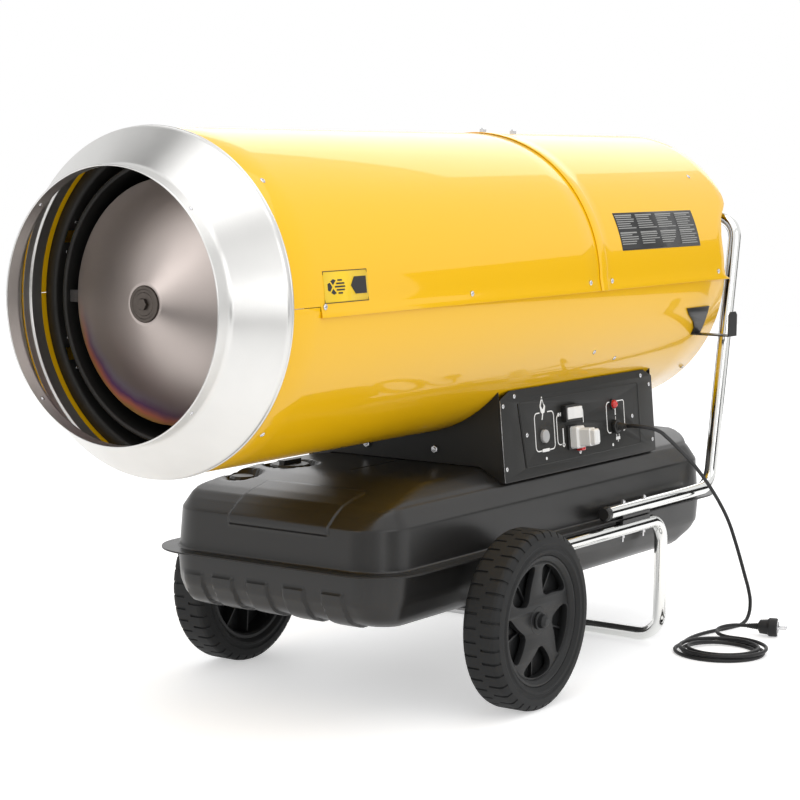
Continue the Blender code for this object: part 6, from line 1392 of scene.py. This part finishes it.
def controls():
    """Reset button, lamp and gland on the panel; grooves ring the gland's narrowing tail."""
    button = filleted([
        (-0.014, 0), (-0.014, RESET_RADIUS), (0.0045, RESET_RADIUS), (0.006, RESET_RADIUS - 0.002),
        (0.0052, RESET_RADIUS - 0.0045), (0.0048, 0),
    ], 0.001, 3)
    piece("reset_button_cap", stood(turned(button), on_panel(*RESET_PLACE)), "grey_plastic",
          body="reset", replaces="reset_button")
    turn = np.linspace(math.pi / 2, 0, 9)
    dome = np.stack([0.0025 + LAMP_RADIUS * np.cos(turn), LAMP_RADIUS * np.sin(turn)], -1)
    lens = np.concatenate([[(-0.012, 0), (-0.012, LAMP_RADIUS)], dome])
    piece("lamp_lens", stood(turned(lens), on_panel(*LAMP_PLACE)), "red_lens", replaces="indicator_lamp")
    ring = filleted([
        (0.0003, LAMP_RADIUS), (0.0003, 0.0105), (0.0024, 0.0103), (0.0024, LAMP_RADIUS),
    ], 0.0006, 3)
    piece("lamp_bezel", stood(turned(ring, closed=True), on_panel(*LAMP_PLACE)), "black_plastic")
    tail = np.linspace(GLAND_NUT, GLAND_END, GLAND_RIBS)
    ribs = GLAND_TAIL - GLAND_TAPER * (tail - GLAND_NUT) / (GLAND_END - GLAND_NUT)
    ribs = ribs - STRAIN_GROOVE * (np.arange(GLAND_RIBS) % 4 > 1)
    gland = np.concatenate([
        filleted([
            (-0.010, 0), (-0.010, 0.0085), (0.0003, 0.0085), (0.0003, GLAND_RADIUS),
            (0.0085, GLAND_RADIUS), (GLAND_NUT, 0.0085),
        ], (0, 0, 0.0006, 0.0015), 3),
        np.stack([tail, ribs], -1), [(GLAND_END, 0)],
    ])
    piece("gland_nut", stood(turned(gland), on_panel(*GLAND_PLACE)), "black_plastic",
          replaces="cable_gland")


def floor_and_light():
    """A pale floor, an even white surround, the lamps, and the dark cards that bright metal mirrors."""
    scene = bpy.context.scene
    scene.view_settings.view_transform = "Standard"
    scene.world = bpy.data.worlds.new("surround")
    scene.world.use_nodes = True
    tree = scene.world.node_tree
    level = between(tree, seen_directly(tree), (0, 1), SURROUND_LEVELS)
    feed(tree, tree.nodes["Background"], {"Strength": level, "Color": (1, 1, 1, 1)})
    half = FLOOR_HALF
    staged_sheet("floor", [(-half, -half, 0), (half, -half, 0), (half, half, 0), (-half, half, 0)],
                 floor_finish())
    for name, place, aim, size, power in LAMPS:
        lamp(name, place, aim, size, power)
    for name, corners in CARDS.items():
        staged_sheet(name, corners, FINISH["studio_card"], shown=False)


def seen_directly(tree):
    """1 for camera, glossy and transmission rays, and 0 for the rest."""
    rays = node(tree, "ShaderNodeLightPath").outputs
    first = maths(tree, "MAXIMUM", rays["Is Camera Ray"], rays["Is Glossy Ray"])
    return maths(tree, "MAXIMUM", first, rays["Is Transmission Ray"])


def floor_finish():
    """White floor: what light it gets, plus a glow that only direct looks see."""
    made = bpy.data.materials.new("floor_white")
    made.use_nodes = True
    tree = made.node_tree
    feed(tree, tree.nodes["Principled BSDF"], {
        "Base Color": (0.82, 0.82, 0.82, 1), "Roughness": 0.6, "Specular IOR Level": 0.1,
        "Emission Color": (1, 1, 1, 1),
        "Emission Strength": maths(tree, "MULTIPLY", seen_directly(tree), FLOOR_GLOW)})
    return made


def staged_sheet(name, corners, coat, shown=True):
    """One flat face that is there for the picture only; if it isn't shown, bright metal still mirrors it."""
    mesh = bpy.data.meshes.new(name)
    mesh.from_pydata(corners, [], [(0, 1, 2, 3)])
    made = linked(name, mesh)
    mesh.materials.append(coat)
    made.visible_camera = made.visible_diffuse = made.visible_shadow = shown


def lamp(name, place, aim, size, power):
    """An area lamp at a place, turned towards its aim, that the camera doesn't see."""
    data = bpy.data.lights.new(name, "AREA")
    data.shape = "RECTANGLE"
    data.size, data.size_y = size
    data.energy = power
    made = linked(name, data)
    made.visible_camera = False
    turn = (Vector(aim) - Vector(place)).to_track_quat("-Z", "Y").to_matrix().to_4x4()
    made.matrix_world = Matrix.Translation(place) @ turn


def feed(tree, made, inputs):
    """Sets a node's inputs by name, and links them where an output is given."""
    for label, value in inputs.items():
        if isinstance(value, bpy.types.NodeSocket):
            tree.links.new(value, made.inputs[label])
        else:
            made.inputs[label].default_value = value
    return made


def node(tree, kind, inputs=None, **settings):
    """A new node in a tree, with its settings and its inputs."""
    made = tree.nodes.new(kind)
    for label, value in settings.items():
        setattr(made, label, value)
    return feed(tree, made, inputs or {})


def maths(tree, operation, *values, kind="ShaderNodeMath", **settings):
    """The output of a Math node over some values."""
    return node(tree, kind, dict(enumerate(values)), operation=operation, **settings).outputs[0]


def distance(tree, vector):
    """A vector's length."""
    return node(tree, "ShaderNodeVectorMath", {0: vector}, operation="LENGTH").outputs["Value"]


def between(tree, value, given, wanted=(0, 1), **settings):
    """A value carried from one range to another, and held at their ends."""
    return node(tree, "ShaderNodeMapRange", {
        "Value": value, "From Min": given[0], "From Max": given[1],
        "To Min": wanted[0], "To Max": wanted[1]}, **settings).outputs["Result"]


def noise(tree, place, scale, detail, **more):
    """The value of a noise texture."""
    inputs = {"Vector": place, "Scale": scale, "Detail": detail, **more}
    return node(tree, "ShaderNodeTexNoise", inputs).outputs["Fac"]


def group(name, inputs, outputs):
    """A shader node group with named sockets, what its input node gives, and its output node."""
    made = bpy.data.node_groups.new(name, "ShaderNodeTree")
    kinds = {"value": "NodeSocketFloat", "colour": "NodeSocketColor", "vector": "NodeSocketVector"}
    for way, sockets in (("INPUT", inputs), ("OUTPUT", outputs)):
        for label, kind in sockets.items():
            made.interface.new_socket(label, in_out=way, socket_type=kinds[kind])
    return made, made.nodes.new("NodeGroupInput").outputs, made.nodes.new("NodeGroupOutput")


def uneven_colour():
    """A colour made lighter and darker by cloudy noise: colour times 1 + amount (noise - half)."""
    made, given, end = group(
        "uneven_colour", {"Place": "vector", "Colour": "colour", "Scale": "value", "Amount": "value"},
        {"Colour": "colour"})
    cloud = noise(made, given["Place"], given["Scale"], 4.0)
    swing = maths(made, "MULTIPLY", maths(made, "SUBTRACT", cloud, 0.5), given["Amount"])
    tinted = node(made, "ShaderNodeVectorMath", {
        0: given["Colour"], "Scale": maths(made, "ADD", swing, 1.0)}, operation="SCALE")
    feed(made, end, {"Colour": tinted.outputs[0]})
    return made


def uneven_gloss():
    """A roughness that wanders: roughness + amount (noise - half)."""
    made, given, end = group(
        "uneven_gloss", {"Place": "vector", "Roughness": "value", "Scale": "value", "Amount": "value"},
        {"Roughness": "value"})
    centred = maths(made, "SUBTRACT", noise(made, given["Place"], given["Scale"], 5.0), 0.5)
    level = maths(made, "MULTIPLY_ADD", centred, given["Amount"], given["Roughness"], use_clamp=True)
    feed(made, end, {"Roughness": level})
    return made


def fine_relief():
    """A skin's height: a low noise plus a share of one six times finer."""
    made, given, end = group(
        "fine_relief", {"Place": "vector", "Scale": "value", "Fine": "value"}, {"Height": "value"})
    low = noise(made, given["Place"], given["Scale"], 2.0)
    high = noise(made, given["Place"], maths(made, "MULTIPLY", given["Scale"], 6.0), 2.0)
    feed(made, end, {"Height": maths(made, "MULTIPLY_ADD", high, given["Fine"], low)})
    return made


def spun_rings():
    """Fine rings round the barrel's axis: noise read at (distance from the axis, station)."""
    made, given, end = group(
        "spun_rings", {"Place": "vector", "Scale": "value"}, {"Height": "value", "Radius": "value"})
    parts = node(made, "ShaderNodeSeparateXYZ", {"Vector": given["Place"]}).outputs
    rise = maths(made, "SUBTRACT", parts["Z"], AXIS_Z)
    flat = node(made, "ShaderNodeCombineXYZ", {"X": parts["Y"], "Y": rise})
    far = distance(made, flat.outputs[0])
    where = node(made, "ShaderNodeCombineXYZ", {"X": far, "Y": parts["X"]})
    rings = noise(made, where.outputs[0], given["Scale"], 4.0, Roughness=0.7)
    feed(made, end, {"Height": rings, "Radius": far})
    return made


def grouped(tree, name, **inputs):
    """The outputs of a shared group in a material, read at the object's own place."""
    place = tree.nodes.get("place") or node(tree, "ShaderNodeTexCoord", name="place")
    inputs = {"Place": place.outputs["Object"], **inputs}
    return node(tree, "ShaderNodeGroup", inputs, node_tree=GROUPS[name]).outputs


def finish(name, colour, roughness, metallic=0.0, cloud=(3.0, 0.10), gloss=(9.0, 0.10),
           relief=(900.0, 0.4, 0.00002), specular=0.5, coat=0.0):
    """A finish: cloudy colour, wandering gloss and a fine skin, each from its shared group.

    cloud and gloss are (scale, amount); relief is (scale, share of the finer noise, depth in metres).
    """
    made = FINISH[name] = bpy.data.materials.new(name)
    made.use_nodes = True
    tree = made.node_tree
    paint = grouped(tree, "uneven_colour", Colour=(*colour, 1), Scale=cloud[0], Amount=cloud[1])
    shine = grouped(tree, "uneven_gloss", Roughness=roughness, Scale=gloss[0], Amount=gloss[1])
    skin = grouped(tree, "fine_relief", Scale=relief[0], Fine=relief[1])
    bump = node(tree, "ShaderNodeBump", {"Height": skin["Height"], "Distance": relief[2]})
    feed(tree, tree.nodes["Principled BSDF"], {
        "Base Color": paint["Colour"], "Roughness": shine["Roughness"], "Normal": bump.outputs["Normal"],
        "Metallic": metallic, "Specular IOR Level": specular, "Coat Weight": coat})
    return made


def spun_finish(name, colour, roughness, scale, depth, anisotropic):
    """Spun metal: rings round the axis in the relief, and a highlight stretched across them."""
    made = finish(name, colour, roughness, 1.0, cloud=(9.0, 0.20), gloss=(7.0, 0.16))
    tree = made.node_tree
    rings = grouped(tree, "spun_rings", Scale=scale)
    bump = node(tree, "ShaderNodeBump", {"Height": rings["Height"], "Distance": depth})
    tangent = node(tree, "ShaderNodeTangent", direction_type="UV_MAP", uv_map="surface")
    feed(tree, tree.nodes["Principled BSDF"], {
        "Normal": bump.outputs["Normal"], "Anisotropic": anisotropic, "Anisotropic Rotation": 0.25,
        "Tangent": tangent.outputs["Tangent"]})
    return made


def pad_relief():
    """The raised panel on the tank: a rounded box in (Y, X), cut off below a height."""
    made, given, end = group("pad_relief", {"Place": "vector"}, {"Height": "value"})
    vector = "ShaderNodeVectorMath"
    middle = (PAD_MIDDLE[1] + LIP_X, PAD_MIDDLE[0], 0)
    corner = (PAD_HALF[1] - PAD_CORNER, PAD_HALF[0] - PAD_CORNER, PAD_UPRIGHT)
    size = maths(made, "ABSOLUTE", maths(made, "SUBTRACT", given["Place"], middle, kind=vector), kind=vector)
    past = maths(made, "SUBTRACT", size, corner, kind=vector)
    far = distance(made, maths(made, "MAXIMUM", past, (0, 0, 0), kind=vector))
    rise = node(made, "ShaderNodeSeparateXYZ", {"Vector": given["Place"]}).outputs["Z"]
    inside, above = (
        between(made, value, (edge - PAD_STEP / 2, edge + PAD_STEP / 2), ends,
                interpolation_type="SMOOTHSTEP")
        for value, edge, ends in ((far, PAD_CORNER, (1, 0)), (rise, PAD_LOW, (0, 1)))
    )
    feed(made, end, {"Height": maths(made, "MULTIPLY", inside, above)})
    return made


def tank_finish(colour, roughness):
    """Tank plastic: a fine skin over the raised panel's step."""
    made = finish("tank_black", colour, roughness, cloud=(4, 0.2), gloss=(12, 0.10),
                  relief=(420, 0.5, 0.00005), specular=0.42)
    tree = made.node_tree
    shader = tree.nodes["Principled BSDF"]
    step = node(tree, "ShaderNodeBump", {
        "Height": grouped(tree, "pad_relief")["Height"], "Distance": PAD_CRISP,
        "Normal": shader.inputs["Normal"].links[0].from_socket})
    feed(tree, shader, {"Normal": step.outputs["Normal"]})
    return made


def heat_tint():
    """Temper colours on the dish: by radius, and only towards the lower far side."""
    made, given, end = group("heat_tint", {"Place": "vector", "Radius": "value", "Colour": "colour"},
                             {"Colour": "colour"})
    parts = node(made, "ShaderNodeSeparateXYZ", {"Vector": given["Place"]}).outputs
    level = maths(made, "MULTIPLY", maths(made, "SUBTRACT", AXIS_Z, parts["Z"]), TEMPER_LEAN[1])
    lean = maths(made, "MULTIPLY_ADD", parts["Y"], TEMPER_LEAN[0], level)
    where = between(made, lean, TEMPER_SIDE, interpolation_type="SMOOTHSTEP")
    cloud = noise(made, given["Place"], TEMPER_CLOUD, 3.0)
    wander = maths(made, "MULTIPLY_ADD", cloud, TEMPER_WANDER, given["Radius"])
    ramp = node(made, "ShaderNodeValToRGB", {"Fac": between(made, wander, TEMPER_RADII)})
    stops = ramp.color_ramp.elements
    for share, _ in TEMPER_COLOURS[1:-1]:
        stops.new(share)
    for stop, (share, colour) in zip(stops, TEMPER_COLOURS):
        stop.position = share
        stop.color = (*colour, 1)
    blend = node(made, "ShaderNodeMix", {
        "Factor": where, 6: given["Colour"], 7: ramp.outputs["Color"]}, data_type="RGBA")
    feed(made, end, {"Colour": blend.outputs[2]})
    return made


def dish_finish():
    """Spun steel that has been hot: its colour passes through the temper colours."""
    made = spun_finish("hot_steel", (0.45, 0.395, 0.37), 0.37, 420, 0.00003, 0.45)
    tree = made.node_tree
    shader = tree.nodes["Principled BSDF"]
    tint = grouped(tree, "heat_tint", Radius=grouped(tree, "spun_rings")["Radius"],
                   Colour=shader.inputs["Base Color"].links[0].from_socket)
    feed(tree, shader, {"Base Color": tint["Colour"]})
    return made


GROUPS = {
    "uneven_colour": uneven_colour(), "uneven_gloss": uneven_gloss(), "fine_relief": fine_relief(),
    "spun_rings": spun_rings(), "pad_relief": pad_relief(), "heat_tint": heat_tint(),
}
finish("casing_yellow", (0.90, 0.51, 0.004), 0.30, cloud=(1.5, 0.05), gloss=(5, 0.05),
       relief=(600, 0.3, 0.00001), specular=0.10, coat=0.6)
spun_finish("spun_aluminium", (0.69, 0.685, 0.67), 0.33, 700, 0.00007, 0.6)
dish_finish()
finish("bolt_steel", (0.10, 0.085, 0.075), 0.45, 0.9, cloud=(60, 0.5))
finish("panel_ink", (0.85, 0.85, 0.84), 0.5)
finish("label_dark", (0.012, 0.012, 0.012), 0.35)
finish("label_print", (0.30, 0.30, 0.29), 0.5)
finish("label_yellow", (0.90, 0.60, 0.01), 0.35)
finish("chamber_steel", (0.045, 0.043, 0.040), 0.6, 0.4, cloud=(12, 0.5))
finish("strap_steel", (0.16, 0.15, 0.145), 0.5, 0.6, cloud=(40, 0.3))
finish("plain_steel", (0.55, 0.55, 0.54), 0.38, 1.0, cloud=(20, 0.2))
finish("brass", (0.62, 0.46, 0.20), 0.32, 1.0, cloud=(30, 0.2))
finish("porcelain", (0.86, 0.84, 0.78), 0.28, cloud=(20, 0.05))
finish("motor_grey", (0.17, 0.18, 0.19), 0.48, 0.2)
finish("fan_aluminium", (0.62, 0.63, 0.64), 0.42, 1.0)
tank_finish((0.014, 0.0135, 0.013), 0.31)
finish("box_black", (0.018, 0.018, 0.017), 0.42, cloud=(5, 0.12), gloss=(20, 0.1),
       relief=(800, 0.5, 0.00004), specular=0.28)
finish("black_plastic", (0.014, 0.014, 0.014), 0.42, relief=(1500, 0.4, 0.00002))
finish("black_steel", (0.016, 0.016, 0.016), 0.34)
finish("grey_plastic", (0.42, 0.42, 0.42), 0.42)
finish("white_plastic", (0.80, 0.80, 0.79), 0.36, cloud=(30, 0.04))
finish("red_lens", (0.62, 0.02, 0.02), 0.16, cloud=(60, 0.2), coat=0.4)
finish("tyre_rubber", (0.019, 0.0195, 0.020), 0.62, cloud=(20, 0.25),
       relief=(1100, 0.5, 0.00006), specular=0.22)
finish("wheel_plastic", (0.015, 0.0155, 0.016), 0.42, relief=(1300, 0.5, 0.00004), specular=0.28)
finish("zinc", (0.60, 0.60, 0.61), 0.26, 1.0, cloud=(60, 0.2))
finish("chrome", (0.76, 0.765, 0.75), 0.08, 1.0, cloud=(4, 0.04), gloss=(14, 0.06))
finish("cord_rubber", (0.012, 0.012, 0.013), 0.5, relief=(1500, 0.5, 0.00002), specular=0.35)
finish("studio_card", (0.03, 0.03, 0.03), 0.9, specular=0.0)

camera()
mains_lead()
casing()
outlet()
duct()
tank_upper()
tank_lower()
box()
controls()
wheels()
tubes()
screws()
fixings()
panel_marks()
labels()
for (coat_name, edge_width), solid_names in KEPT_SOLIDS.items():
    for solid_name in solid_names:
        dressed(solid_name, coat_name, edge_width)
floor_and_light()
